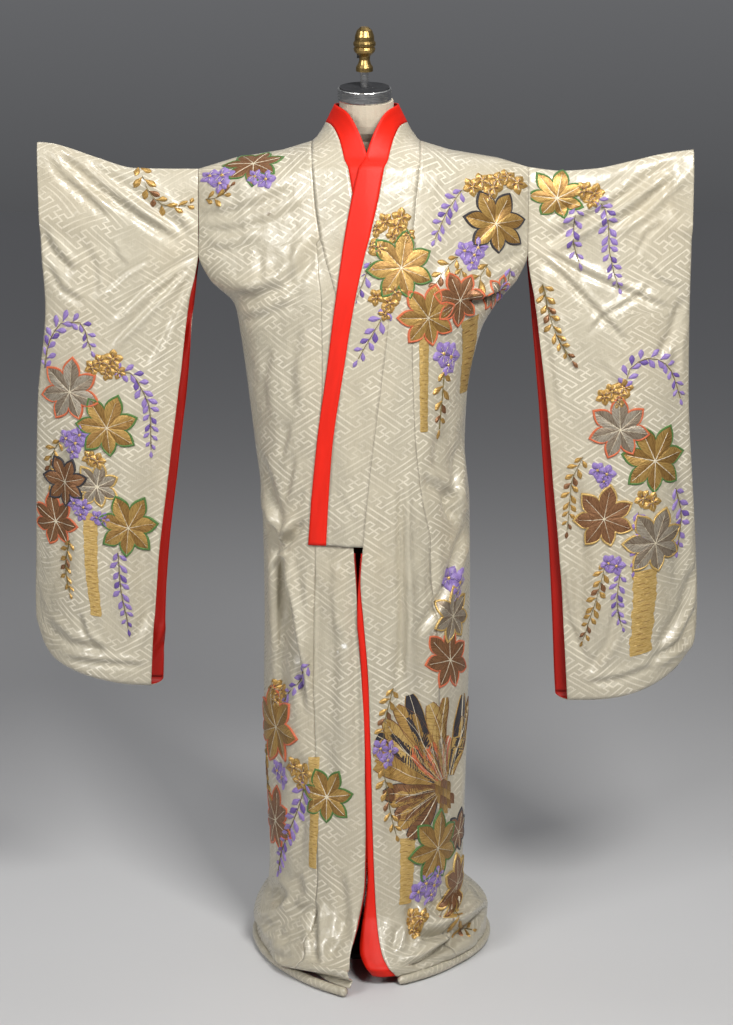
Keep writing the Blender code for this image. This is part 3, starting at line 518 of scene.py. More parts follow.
# The sleeves by height: front layer's inner edge, outer edge, how far the back layer reaches past
# the front one, how far the outer edge curls back and how far the middle swells forward.
sleeveColumns = "z innerRight outerRight innerLeft outerLeft reach curl swell".split()
sleeveRows = [
    (1.7, 0.3383, 0.662, 0.3263, 0.658, 0.0, 0.0, 0.0),
    (1.476, 0.3403, 0.661, 0.3263, 0.66, 0.0, 0.006, 0.004),
    (1.374, 0.36, 0.657, 0.342, 0.661, 0.007, 0.014, 0.008),
    (1.168, 0.388, 0.68, 0.369, 0.667, 0.014, 0.03, 0.014),
    (1.0, 0.411, 0.69, 0.385, 0.681, 0.016, 0.042, 0.018),
    (0.853, 0.431, 0.696, 0.4, 0.694, 0.018, 0.054, 0.02),
    (0.725, 0.443, 0.702, 0.41, 0.702, 0.02, 0.064, 0.021),
    (0.56, 0.453, 0.703, 0.421, 0.703, 0.022, 0.072, 0.022),
    (0.5, 0.456, 0.703, 0.425, 0.703, 0.022, 0.074, 0.022),
]

# Top and bottom of each sleeve across its width, from the body to the wrist.
sleeveEndColumns = "across topRight bottomRight topLeft bottomLeft".split()
sleeveEnds = [
    (0.0, 1.6387, 0.562, 1.6423, 0.53),
    (0.2, 1.639, 0.568, 1.635, 0.534),
    (0.4, 1.6405, 0.578, 1.639, 0.542),
    (0.62, 1.66, 0.592, 1.654, 0.56),
    (0.82, 1.682, 0.612, 1.669, 0.59),
    (0.92, 1.69, 0.638, 1.674, 0.618),
    (1.0, 1.692, 0.69, 1.677, 0.668),
]

def curveThrough(at, values):
    # A curve through the points that never overshoots them: a cubic in each stretch, its slopes the weighted
    # harmonic means of the rises on either side, and level where the rise turns.
    step = np.diff(at)
    rise = np.diff(values) / step
    turning = rise[:-1] * rise[1:] <= 0
    before = np.where(turning, 1.0, rise[:-1])
    after = np.where(turning, 1.0, rise[1:])
    near, far = 2 * step[1:] + step[:-1], step[1:] + 2 * step[:-1]
    middle = np.where(turning, 0.0, (near + far) / (near / before + far / after))
    slope = np.concatenate([rise[:1], middle, rise[-1:]])

    def read(x):
        x = np.clip(x, at[0], at[-1])
        i = np.clip(np.searchsorted(at, x) - 1, 0, len(step) - 1)
        t = (x - at[i]) / step[i]
        bend = (t**3 - 2 * t**2 + t) * slope[i] + (t**3 - t**2) * slope[i + 1]
        return (2 * t**3 - 3 * t**2 + 1) * values[i] + (3 * t**2 - 2 * t**3) * values[i + 1] + bend * step[i]

    return read


def tableCurves(columns, rows):
    values = np.array(rows, float)
    values = values[np.argsort(values[:, 0])]
    return {name: curveThrough(values[:, 0], values[:, i]) for i, name in enumerate(columns) if i}


bodyAt = tableCurves(bodyColumns, bodyRows)
edgeAt = tableCurves(edgeColumns, edgeRows)
collarAt = tableCurves(collarColumns, collarRows)
sleeveAt = tableCurves(sleeveColumns, sleeveRows)
sleeveEndAt = tableCurves(sleeveEndColumns, sleeveEnds)
sideNames = {-1: "right", 1: "left"}


def ofSide(word, side):
    return word + sideNames[side].capitalize()


def smoothStep(x):
    x = np.clip(x, 0, 1)
    return x * x * (3 - 2 * x)


def shoulderHeight(x):
    at, height = np.array(shoulderLine).T
    return np.interp(np.abs(x), at, height)


def rounding(drop, radius):
    # 0 on a fold's ridge, rising to 1 at one radius below it, as a quarter circle does.
    share = np.clip(drop / radius, 0, 1)
    return np.sqrt(1 - (1 - share) ** 2)


def foldDepth(side, face, x, level):
    # How far the largest folds pull the cloth in: a bell across each fold, a half sine along it.
    pull = np.zeros(np.broadcast(x, level).shape)
    for row in foldRows:
        fold = dict(zip(foldColumns, row))
        if (fold["side"], fold["face"]) != (side, face):
            continue
        along = np.clip((fold["top"] - level) / (fold["top"] - fold["bottom"]), 0, 1)
        middle = fold["xTop"] + (fold["xBottom"] - fold["xTop"]) * along
        pull = pull + fold["depth"] * np.sin(np.pi * along) * np.exp(-(((x - middle) / fold["width"]) ** 2))
    return pull


def halfWidth(side, x, level):
    own, other = bodyAt[sideNames[side]](level), bodyAt[sideNames[-side]](level)
    return np.where(np.asarray(x) < 0, other, own)


def turnOf(side, x, level):
    # The turn round the body at distance x from its middle: the arcsine of the share of the half width.
    share = np.clip(np.abs(x) / halfWidth(side, x, level), 0, 1) ** (bodyAt["full"](level) / 2)
    return np.sign(x) * np.arcsin(share)


def bodyPoint(side, face, turn, level):
    # A superellipse round the body at each level: x is the half width times a power of the sine of the
    # turn, y the depth times a power of its cosine, with the top rounded over the shoulder line.
    full = bodyAt["full"](level) if face < 0 else bodyAt["fullBack"](level)
    x = halfWidth(side, turn, level) * np.sign(turn) * np.abs(np.sin(turn)) ** (2 / full)
    slopeRise = clothFacts["shoulderLevel"] - clothFacts["slopeLevel"]
    slopes = smoothStep((level - clothFacts["slopeLevel"]) / slopeRise)
    z = level + (shoulderHeight(x) - clothFacts["shoulderLevel"]) * slopes
    over = rounding(shoulderHeight(x) - z, clothFacts["shoulderRounding"])
    depth = bodyAt["back"](level)
    if face < 0:
        toLeft = smoothStep(side * x / clothFacts["frontsBlend"] + 0.5)
        right, left = bodyAt["frontRight"](level), bodyAt["frontLeft"](level)
        depth = right + (left - right) * toLeft
    parting = bodyAt["parting"](level)
    reach = np.clip(np.cos(turn), 0, 1) ** (2 / bodyAt["fullSide"](level))
    pull = np.where(x < 0, foldDepth(-side, face, -x, level), foldDepth(side, face, x, level))
    pull = pull * smoothStep((np.pi / 2 - turn) / clothFacts["foldFadeTurn"])
    lap = 0.0
    if side > 0 and face < 0:
        lap = clothFacts["lapDepth"] * smoothStep((clothFacts["lapReach"] - x) / clothFacts["lapFade"])
    y = bodyAt["sideY"](level) + face * over * (parting + (depth - parting) * reach + lap - pull)
    return np.stack(np.broadcast_arrays(side * x, y, z), axis=-1)


def sleevePoint(side, face, across, level, inward=0.0):
    # One layer of a sleeve: straight across from the body to the wrist, curled back at the wrist by the
    # cube of the way across, swelling forward by a half sine, and rounded over its top and bottom folds.
    top = sleeveEndAt[ofSide("top", side)](across)
    bottom = sleeveEndAt[ofSide("bottom", side)](across)
    highest, lowest = sleeveFacts["top"], sleeveFacts["bottom"]
    rise = smoothStep((level - sleeveFacts["riseLevel"]) / (highest - sleeveFacts["riseLevel"]))
    lift = smoothStep((sleeveFacts["liftLevel"] - level) / (sleeveFacts["liftLevel"] - lowest))
    z = level + (top - highest) * rise + (bottom - lowest) * lift
    over = rounding(top - z, clothFacts["shoulderRounding"]) * rounding(z - bottom,
        sleeveFacts["bottomRounding"])
    reach = sleeveAt["reach"](z) * over if face > 0 else 0.0
    inner = sleeveAt[ofSide("inner", side)](z) - reach
    x = inner + (sleeveAt[ofSide("outer", side)](z) - inner) * across
    closed = smoothStep((sleeveFacts["wristOpening"] - level) / sleeveFacts["wristFade"] + 1)
    edge, full = sleeveFacts["edgeHalfDepth"], sleeveFacts["halfDepth"]
    half = edge + (full - edge) * np.sqrt(np.clip(1 - closed * across**4, 0, 1))
    middle = sleeveAt["curl"](z) * across**3 - sleeveAt["swell"](z) * np.sin(np.pi * across)
    y = middle + face * over * (half - inward)
    return np.stack(np.broadcast_arrays(side * x, y, z), axis=-1)


def creaseField(points, creases):
    # How far the cloth stands in at each point, in metres: for each crease a bell across its line with a
    # smaller ridge on one side, times soft ends, all measured in pixels of the camera's view.
    x, y = toView(points)
    total = np.zeros(x.shape)
    for line, width, depth, ridge in creases:
        line = np.array(line, float)
        reach = 4 * width
        near = (x > line[:, 0].min() - reach) & (x < line[:, 0].max() + reach)
        near &= (y > line[:, 1].min() - reach) & (y < line[:, 1].max() + reach)
        if not near.any():
            continue
        px, py = x[near], y[near]
        lengths = np.hypot(*np.diff(line, axis=0).T)
        starts = np.concatenate([[0], np.cumsum(lengths)])
        best = np.full(px.shape, 1e9)
        signed, along = np.zeros(px.shape), np.zeros(px.shape)
        for i, length in enumerate(lengths):
            dx, dy = (line[i + 1] - line[i]) / length
            t = np.clip((px - line[i, 0]) * dx + (py - line[i, 1]) * dy, 0, length)
            offX, offY = px - line[i, 0] - t * dx, py - line[i, 1] - t * dy
            away = np.hypot(offX, offY)
            closer = away < best
            best = np.where(closer, away, best)
            signed = np.where(closer, np.sign(offX * dy - offY * dx) * away, signed)
            along = np.where(closer, (starts[i] + t) / starts[-1], along)
        ends = smoothStep(along / 0.22) * smoothStep((1 - along) / 0.22)
        q = signed / width
        total[near] += depth * ends * (np.exp(-q * q) - ridge * np.exp(-((q - 1.7) ** 2)))
    return total * creaseStrength


def squareTo(surface, a, b, facing):
    # Direction square to a surface: the cross product of its slopes along its two parameters, from small
    # steps.
    step = 1e-3
    alongA = surface(a + step, b) - surface(a - step, b)
    alongB = surface(a, b + step) - surface(a, b - step)
    normal = np.cross(alongA, alongB) * facing
    return normal / np.maximum(np.linalg.norm(normal, axis=-1, keepdims=True), 1e-12)


def bodyCloth(side, face, turn, level):
    # The body cloth with its creases: the plain surface moved in along its own normal.
    surface = lambda a, b: bodyPoint(side, face, np.clip(a, -np.pi / 2, np.pi / 2), b)
    turn, level = np.broadcast_arrays(np.asarray(turn, float), np.asarray(level, float))
    plain = surface(turn, level)
    normal = squareTo(surface, turn, level, -side * face)
    shown = smoothStep(np.abs(normal[..., 1]) / 0.45) * smoothStep((1.655 - level) / 0.05)
    shown = np.maximum(shown,
                       smoothStep((0.16 - level) / 0.05)) * smoothStep((np.pi / 2 - np.abs(turn)) / 0.22)
    depth = creaseField(plain, frontCreases if face < 0 else backCreases) * shown
    return plain - normal * depth[..., None]


def sleeveCloth(side, face, across, level):
    surface = lambda a, b: sleevePoint(side, face, np.clip(a, 0, 1), b)
    across, level = np.broadcast_arrays(np.asarray(across, float), np.asarray(level, float))
    plain = surface(across, level)
    normal = squareTo(surface, across, level, -side * face)
    creases = sleeveCreases[side] if face < 0 else [mirrored(c) for c in sleeveCreases[-side]]
    held = smoothStep((1 - across) / 0.04) * smoothStep((sleeveEndAt[ofSide("top",
        side)](across) - plain[..., 2]) / 0.03)
    return plain - normal * (creaseField(plain, creases) * held)[..., None]


def mirrored(crease):
    line, width, depth, ridge = crease
    return [(2 * viewFacts["middle"][0] - x, y) for x, y in line], width, depth, ridge


# Creases, listed as lines of view pixels with their half width in pixels, depth in metres and share of
# side ridge.
creaseStrength = 1.5
frontCreases = [
    # viewer's left shoulder and chest
    ([(196, 218), (225, 213), (255, 206), (300, 186)], 4.5, 0.0032, 0.7),
    ([(198, 232), (235, 230), (270, 222), (312, 200)], 4.0, 0.0026, 0.7),
    ([(206, 252), (232, 250), (262, 240)], 5.0, 0.0030, 0.6),
    ([(222, 296), (250, 299), (284, 288), (304, 268), (320, 236)], 7.0, 0.0070, 0.8),
    ([(232, 322), (262, 318), (290, 306), (306, 284)], 5.0, 0.0035, 0.5),
    ([(291, 236), (290, 262), (288, 288)], 3.5, 0.0020, 0.5),
    ([(259, 246), (260, 266), (262, 286)], 3.5, 0.0018, 0.5),
    ([(246, 152), (270, 160), (300, 156)], 5.0, 0.0024, 0.5),
    ([(300, 320), (290, 370), (292, 420)], 6.0, 0.0028, 0.6),
    ([(270, 340), (262, 384), (266, 420)], 5.0, 0.0026, 0.6),
    # waist tuck and the long folds under it
    ([(289, 422), (284, 440), (279, 458)], 4.0, 0.0030, 0.6),
    ([(258, 450), (268, 484), (277, 512), (281, 545)], 5.0, 0.0055, 0.7),
    ([(306, 490), (296, 504), (282, 520)], 4.0, 0.0030, 0.7),
    ([(294, 452), (288, 482), (281, 514)], 4.0, 0.0030, 0.5),
    ([(262, 508), (271, 528), (281, 547), (290, 537), (306, 518)], 4.0, 0.0100, 0.9),
    ([(252, 470), (264, 500), (278, 532)], 8.0, -0.0070, 0.2),
    ([(280, 540), (285, 586), (291, 616), (299, 664), (303, 720)], 4.5, 0.0100, 0.9),
    ([(267, 520), (277, 560), (283, 605), (293, 645), (296, 690)], 4.0, 0.0085, 0.8),
    ([(272, 540), (272, 600), (276, 660)], 5.0, -0.0040, 0.3),
    ([(306, 560), (308, 610), (306, 680)], 5.0, -0.0035, 0.3),
    ([(316, 560), (318, 620), (316, 700), (320, 780)], 6.0, 0.0032, 0.6),
    ([(338, 556), (336, 590), (340, 640)], 6.0, -0.0040, 0.3),
    ([(326, 590), (330, 660), (326, 740), (332, 820)], 8.0, 0.0035, 0.5),
    ([(352, 570), (355, 640), (357, 720), (356, 800)], 5.0, 0.0060, 0.3),
    ([(272, 700), (280, 760), (274, 830)], 6.0, 0.0040, 0.6),
    ([(296, 740), (302, 800), (298, 868)], 7.0, 0.0045, 0.6),
    # lapel and the folds right of it
    ([(334, 484), (346, 506), (360, 531)], 2.6, 0.0018, 0.9),
    ([(352, 380), (362, 424), (356, 470)], 7.0, 0.0025, 0.5),
    ([(401, 470), (401, 540), (403, 623), (400, 690)], 3.6, 0.0075, 0.8),
    ([(410, 560), (412, 620), (410, 700)], 5.0, -0.0040, 0.3),
    ([(388, 470), (384, 540), (386, 620), (378, 700)], 6.0, 0.0030, 0.6),
    ([(440, 430), (436, 462), (444, 494)], 5.0, 0.0040, 0.6),
    ([(421, 476), (434, 487), (450, 498), (458, 522)], 6.0, 0.0070, 0.8),
    ([(458, 440), (456, 470), (448, 506), (458, 530)], 4.5, 0.0055, 0.7),
    ([(468, 518), (456, 556), (446, 586), (431, 614), (412, 642)], 4.0, 0.0062, 0.8),
    ([(430, 540), (432, 570), (430, 604)], 4.5, 0.0035, 0.6),
    ([(440, 250), (430, 290), (436, 340)], 7.0, 0.0022, 0.5),
    ([(466, 300), (478, 302), (490, 298), (506, 290)], 4.0, 0.0120, 0.7),
    ([(470, 318), (464, 360), (462, 410)], 5.0, 0.0035, 0.6),
    ([(410, 176), (440, 166), (476, 172)], 5.0, 0.0022, 0.5),
    ([(520, 200), (500, 212), (476, 240)], 4.0, 0.0022, 0.6),
    ([(524, 250), (508, 262), (488, 268)], 4.0, 0.0036, 0.6),
    ([(418, 660), (424, 730), (420, 800)], 7.0, 0.0038, 0.6),
    ([(392, 700), (396, 780), (388, 860)], 7.0, 0.0036, 0.6),
    ([(448, 700), (452, 770), (444, 840)], 6.0, 0.0036, 0.6),
    # hem, viewer's left: the cloth sinks on itself over the roll
    ([(314, 900), (314, 930), (316, 968)], 4.5, 0.0080, 0.9),
    ([(252, 926), (272, 924), (292, 915), (312, 902)], 6.0, 0.0060, 0.8),
    ([(262, 952), (282, 970), (306, 974), (330, 979), (364, 987)], 4.0, 0.0120, 0.9),
    ([(268, 940), (286, 950), (306, 944), (314, 930)], 6.0, -0.0080, 0.4),
    ([(338, 868), (343, 905), (346, 948)], 6.0, 0.0050, 0.7),
    ([(270, 880), (282, 894), (276, 912)], 5.0, 0.0050, 0.8),
    ([(326, 960), (338, 940), (342, 912)], 5.0, 0.0045, 0.7),
    ([(296, 872), (300, 890), (290, 906)], 5.0, 0.0040, 0.8),
    # hem, viewer's right: a sagging loop above the roll
    ([(408, 928), (430, 936), (458, 931), (480, 916), (496, 902)], 5.0, 0.0150, 0.9),
    ([(416, 902), (430, 918), (446, 924), (462, 920), (476, 908)], 4.0, -0.0075, 0.5),
    ([(454, 914), (462, 902), (472, 886)], 3.0, 0.0055, 0.8),
    ([(434, 900), (442, 912), (452, 922)], 3.0, 0.0050, 0.8),
    ([(396, 966), (420, 964), (440, 950), (466, 934), (490, 914)], 4.0, 0.0110, 0.8),
    ([(399, 924), (396, 938), (393, 952)], 3.5, 0.0045, 0.8),
    ([(411, 900), (411, 922), (413, 948)], 4.0, 0.0070, 0.8),
    ([(440, 958), (458, 950), (478, 938)], 6.0, -0.0050, 0.3),
]
backCreases = [
    ([(300, 470), (296, 640), (284, 820), (272, 930)], 9.0, 0.0080, 0.4),
    ([(340, 520), (344, 680), (336, 860)], 8.0, 0.0055, 0.5),
    ([(384, 500), (388, 660), (400, 840)], 8.0, 0.0055, 0.5),
    ([(420, 480), (426, 660), (440, 860)], 9.0, 0.0080, 0.4),
    ([(240, 240), (290, 262), (340, 300)], 6.0, 0.0040, 0.6),
    ([(490, 240), (440, 264), (394, 300)], 6.0, 0.0040, 0.6),
    ([(262, 500), (290, 530), (330, 544)], 5.0, 0.0050, 0.7),
    ([(470, 500), (440, 526), (404, 540)], 5.0, 0.0050, 0.7),
    ([(262, 920), (300, 936), (350, 928), (380, 944)], 5.0, 0.0110, 0.8),
    ([(380, 920), (420, 938), (460, 926), (486, 908)], 5.0, 0.0110, 0.8),
    ([(280, 956), (330, 966), (400, 962), (460, 950)], 4.5, 0.0090, 0.8),
]
sleeveCreases = {
    -1: [
        ([(46, 144), (72, 166), (103, 192), (140, 219), (186, 247)], 5.0, 0.0066, 0.9),
        ([(70, 152), (106, 176), (140, 196), (170, 222), (196, 244)], 5.5, 0.0050, 0.8),
        ([(42, 150), (60, 176), (92, 204), (112, 224)], 4.5, 0.0040, 0.8),
        ([(104, 170), (140, 184), (166, 206), (190, 236)], 4.0, 0.0032, 0.7),
        ([(199, 252), (172, 268), (144, 288), (108, 322)], 3.6, 0.0036, 0.9),
        ([(197, 256), (166, 288), (138, 316), (104, 350)], 3.6, 0.0040, 0.9),
        ([(196, 262), (180, 296), (160, 340), (140, 372)], 4.0, 0.0034, 0.8),
        ([(194, 280), (184, 330), (172, 392)], 5.0, 0.0030, 0.7),
        ([(150, 258), (126, 272), (100, 294)], 2.6, 0.0020, 0.9),
        ([(40, 232), (54, 254), (74, 274)], 5.0, 0.0050, 0.8),
        ([(44, 262), (60, 290), (86, 306)], 4.0, 0.0026, 0.8),
        ([(78, 236), (92, 262), (96, 300)], 5.0, 0.0022, 0.7),
        ([(110, 240), (116, 256), (128, 268)], 3.0, 0.0016, 0.8),
        ([(60, 420), (58, 500), (64, 600)], 9.0, 0.0040, 0.5),
        ([(150, 460), (142, 540), (148, 640)], 8.0, 0.0046, 0.6),
        ([(112, 440), (106, 540), (116, 650)], 8.0, 0.0030, 0.5),
        ([(42, 620), (70, 644), (110, 652)], 5.0, 0.0040, 0.7),
        ([(60, 660), (96, 664), (150, 668)], 4.0, 0.0034, 0.8),
        ([(156, 560), (150, 610), (128, 652)], 4.0, 0.0036, 0.8),
        ([(76, 610), (84, 634), (104, 656)], 3.6, 0.0030, 0.8),
    ],
    1: [
        ([(688, 154), (650, 177), (619, 199), (583, 222), (540, 248)], 5.0, 0.0066, 0.9),
        ([(690, 160), (664, 186), (639, 210), (606, 232)], 4.5, 0.0046, 0.8),
        ([(636, 168), (606, 190), (572, 206), (540, 222)], 5.0, 0.0040, 0.8),
        ([(668, 166), (668, 190), (672, 220)], 4.0, 0.0026, 0.8),
        ([(530, 252), (560, 274), (596, 311), (632, 350)], 3.6, 0.0042, 0.9),
        ([(536, 248), (583, 273), (628, 293), (676, 312)], 3.6, 0.0038, 0.9),
        ([(531, 262), (544, 300), (560, 344), (576, 382)], 4.0, 0.0034, 0.8),
        ([(534, 300), (548, 360), (556, 420)], 5.0, 0.0030, 0.7),
        ([(586, 338), (605, 316), (639, 297), (654, 280)], 3.0, 0.0026, 0.9),
        ([(684, 296), (671, 334), (657, 362)], 4.5, 0.0048, 0.8),
        ([(690, 306), (674, 346), (676, 384)], 4.0, 0.0036, 0.8),
        ([(636, 256), (648, 234), (664, 222)], 3.0, 0.0018, 0.9),
        ([(640, 262), (660, 282), (684, 292)], 3.6, 0.0024, 0.8),
        ([(600, 360), (612, 380), (640, 396)], 4.0, 0.0024, 0.7),
        ([(676, 420), (684, 500), (676, 600)], 8.0, 0.0044, 0.6),
        ([(572, 460), (582, 560), (574, 660)], 8.0, 0.0046, 0.6),
        ([(620, 600), (610, 640), (584, 676)], 4.5, 0.0040, 0.8),
        ([(696, 560), (682, 610), (654, 654)], 4.5, 0.0060, 0.8),
        ([(698, 600), (684, 640), (640, 668)], 4.0, 0.0048, 0.8),
        ([(560, 560), (566, 620), (590, 668)], 4.0, 0.0034, 0.8),
        ([(580, 686), (620, 680), (668, 662)], 4.0, 0.0034, 0.8),
    ],
}


def arcLengths(points, axis):
    # Running length along one way of a grid of points, from 0 in the first row or column.
    steps = np.linalg.norm(np.diff(points, axis=axis), axis=-1)
    start = np.zeros_like(np.take(steps, [0], axis=axis))
    return np.concatenate([start, np.cumsum(steps, axis=axis)], axis=axis)


def clothCoordinates(points, from_=(0.0, 0.0)):
    # Cloth coordinates in metres: the length across each row, and the length along the middle column.
    across = arcLengths(points, 1)
    middle = arcLengths(points, 0)[:, points.shape[1] // 2]
    return np.stack([across + from_[0], np.broadcast_to(middle[:, None], across.shape) + from_[1]], axis=-1)


def sheetMesh(name, points, cloth, facing, closed=False, extra=()):
    # A mesh through a grid of points. Where the cloth coordinates have one row more than the points, the
    # last row joins the first; closed is not used. Extra holds more faces as corners.
    rows, columns = points.shape[:2]
    shown = np.arange(cloth.shape[0] * columns).reshape(cloth.shape[0], columns)
    joined = shown % (rows * columns)
    pick = lambda grid: np.stack([grid[:-1, :-1], grid[:-1, 1:], grid[1:, 1:], grid[1:, :-1]],
                                 axis=-1).reshape(-1, 4)
    faces, corners = pick(joined), pick(shown)
    if len(extra):
        faces = np.concatenate([faces, np.array(extra)])
        corners = np.concatenate([corners, np.array(extra)])
    flat = points.reshape(-1, 3)
    middle = flat[faces[len(faces) // 3]]
    if np.cross(middle[2] - middle[0], middle[3] - middle[1]) @ np.array(facing, float) < 0:
        faces, corners = faces[:, ::-1], corners[:, ::-1]
    mesh = bpy.data.meshes.new(name)
    mesh.from_pydata(flat.tolist(), [], faces.tolist())
    layer = mesh.uv_layers.new(name="cloth")
    layer.data.foreach_set("uv", cloth.reshape(-1, 2)[corners.ravel()].ravel())
    mesh.update()
    mesh.shade_smooth()
    return mesh


def addPiece(name, mesh, finishes, replaced=()):
    made = bpy.data.objects.new(name, mesh)
    bpy.context.scene.collection.objects.link(made)
    for finish in finishes:
        mesh.materials.append(finish)
    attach(made, "root")
    if replaced:
        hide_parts(*replaced)
    return made


def addWall(piece, thickness, inner=0):
    wall = piece.modifiers.new("wall", "SOLIDIFY")
    wall.thickness = thickness
    wall.offset = -1
    wall.use_quality_normals = True
    wall.material_offset = inner


def levelsDown(steps, turns):
    # Levels from the shoulder fold to the hem: quarter circle rows first, then even steps that grow finer
    # low down.
    over = clothFacts["shoulderLevel"] - clothFacts["shoulderRounding"] * (1 - np.cos(np.radians(turns)))
    first, second = steps
    high = np.arange(over[-1] - first, 0.165, -first)
    low = np.arange(high[-1] - second, clothFacts["hem"] + second / 2, -second)
    return np.concatenate([over, high, low, [clothFacts["hem"]]])


frontLevels = levelsDown((0.0068, 0.0028), np.linspace(0, 90, 12))
backLevels = levelsDown((0.0100, 0.0042), np.linspace(0, 90, 12))
panelTurns = np.linspace(0, 1, 64)


def neckBackEdge(level, early=1.0):
    # Inner edge of the back panels: an ellipse round the neck, then the seam in the middle, where above 1
    # it closes earlier and so runs up under the collar.
    drop = np.clip(early * (clothFacts["shoulderLevel"] - level) / neckDrop, 0, 1)
    halfWidth = edgeAt["edgeLeft"](clothFacts["shoulderLevel"]) * np.sqrt(1 - drop**2)
    return halfWidth + 1.5 * clothFacts["seamGap"]


def bodyPanelParts(side):
    level = frontLevels[::-1, None]
    high = level > clothFacts["overlapTop"]
    inner = np.where(high, edgeAt[ofSide("edge", side)](level), edgeAt[ofSide("seam", side)](level))
    first = turnOf(side, inner + clothFacts["seamGap"], level)
    front = bodyCloth(side, -1, first + (np.pi / 2 - first) * panelTurns, level)
    front[:, 0, 1] += clothFacts["seamValley"]
    level = backLevels[1:, None]
    share = np.clip(neckBackEdge(level, clothFacts["underCollar"]) / bodyAt[sideNames[side]](level), 0, 1)
    first = np.arcsin(share ** (bodyAt["fullBack"](level) / 2))
    back = bodyCloth(side, 1, first + (np.pi / 2 - first) * panelTurns, level)
    return np.concatenate([front, back])


def overlapPanelPoints(side, columns=26):
    # Its top row is a point: the first level above the overlap's top, where the seam meets the edge.
    above = int(np.sum(frontLevels > clothFacts["overlapTop"])) - 1
    level = frontLevels[above:][::-1, None]
    edge = edgeAt[ofSide("edge",
                         side)](level) + clothFacts["seamGap"] * (level > clothFacts["collarEnd"] - 0.001)
    seam = edgeAt[ofSide("seam", side)](level) - clothFacts["seamGap"]
    seam = np.where(level > clothFacts["overlapTop"], edge, seam)
    x = edge + (seam - edge) * np.linspace(0, 1, columns)
    points = bodyCloth(side, -1, turnOf(side, x, level), level)
    points[:, -1, 1] += clothFacts["seamValley"]
    return points


def frontLiningPoints(side):
    # The lining behind the open front edge: a strip of the overlap panel moved in, its first column moved
    # past the cloth's edge.
    panel = overlapPanelPoints(side)
    count = int(np.sum(frontLevels < clothFacts["collarEnd"] - 0.01))
    first = int(np.sum(frontLevels < liningShown["foot_" + sideNames[side]]))
    lining = panel[first:count, :14] + np.array([0, clothFacts["facingDepth"], 0])
    level = frontLevels[::-1][first:count]
    upper = smoothStep((liningShown["from"] - level) / liningShown["fade"])
    lower = smoothStep((liningShown["flare"] - level) / liningShown["flare"])
    shown = liningShown["least"] + (side > 0) * (liningShown["strip"] * upper + liningShown["foot"] * lower)
    toward = lining[:, 0] - lining[:, 1]
    toward = toward / np.linalg.norm(toward, axis=1, keepdims=True)
    share = np.array([1.0, 0.75, 0.5, 0.25])
    reach = (shown[:, None] * share)[..., None]
    past = lining[:, :1] + toward[:, None] * reach + np.array([0, 1.0, 0]) * reach * share[:,
        None] * liningShown["bend"]
    return np.concatenate([past, lining], axis=1)


def neckSeam(side):
    # Where the collar meets the panels round the neck, at eight places from the shoulder's front to the back.
    turns = np.radians([70, 50, 25, 0])
    level = clothFacts["shoulderLevel"] - clothFacts["shoulderRounding"] * (1 - np.cos(turns))
    x = edgeAt[ofSide("edge", side)](level) + clothFacts["seamGap"]
    front = bodyPoint(side, -1, turnOf(side, x, level), level)
    level = clothFacts["shoulderLevel"] - clothFacts["shoulderRounding"] * (1 - np.cos(np.radians([14, 25,
        35, 50])))
    share = np.clip(neckBackEdge(level) / bodyAt[sideNames[side]](level), 0, 1)
    back = bodyPoint(side, 1, np.arcsin(share ** (bodyAt["fullBack"](level) / 2)), level)
    return np.concatenate([front, back])


def smoothRows(rows, first, last, count):
    # Rows between two of the given ones, each coordinate a curve over the length along the middle.
    along = arcLengths(rows, 0)[:, rows.shape[1] // 2]
    wanted = np.linspace(along[first], along[last], count)
    columns = [[curveThrough(along, rows[:, j, k])(wanted) for k in range(3)] for j in range(rows.shape[1])]
    return np.array(columns).transpose(2, 0, 1)


def collarSide(side):
    # One side of the wide collar, seam to free edge: on the body's own surface up to the shoulder, then
    # straight from the panels' edge to the free edge round the neck.
    onCollar = (frontLevels < clothFacts["collarNeck"]) & (frontLevels > clothFacts["collarEnd"] + 0.002)
    level = frontLevels[onCollar]
    level = np.concatenate([[clothFacts["collarEnd"]], level[::-1]])
    across = np.linspace(0, 1, 19)
    seam = edgeAt[ofSide("edge", side)](level)[:, None] - clothFacts["seamGap"]
    x = seam + (collarAt["tip"](level)[:, None] - seam) * across
    low = bodyCloth(side, -1, turnOf(side, x, level[:, None]), level[:, None])
    neck = dict(zip(neckColumns, np.array(neckRows, float).T))
    tips = np.stack([side * neck["tipX"], neck["tipY"], neck["tipZ"]], axis=-1)
    sewn = neckSeam(side) - (side * 2 * clothFacts["seamGap"], 0, 0)
    sewn[-1, 0] = 0.0
    high = sewn[:, None] + (tips - sewn)[:, None] * across[:, None]
    held = np.concatenate([low[-17::8], high])
    # the other side's rows, so that the curve passes the middle of the back level
    beyond = held[-2:-4:-1] * (-1, 1, 1)
    dense = smoothRows(np.concatenate([held, beyond]), 2, len(held) - 1, 44)
    lowShare = collarAt["redShare"](level)
    along = np.concatenate([[0], np.arange(1, 9)]) / 8
    highShare = np.interp(np.linspace(0, 1, 44), along, np.concatenate([lowShare[-1:], neck["redShare"]]))
    return np.concatenate([low[:-1], dense]), np.concatenate([lowShare[:-1], highShare])


def collarBand():
    # The band from the wearer's left end round the neck to the right end, and the share of each row that is
    # red.
    left, leftShare = collarSide(1)
    right, rightShare = collarSide(-1)
    return np.concatenate([left, right[-2::-1]]), np.concatenate([leftShare, rightShare[-2::-1]])


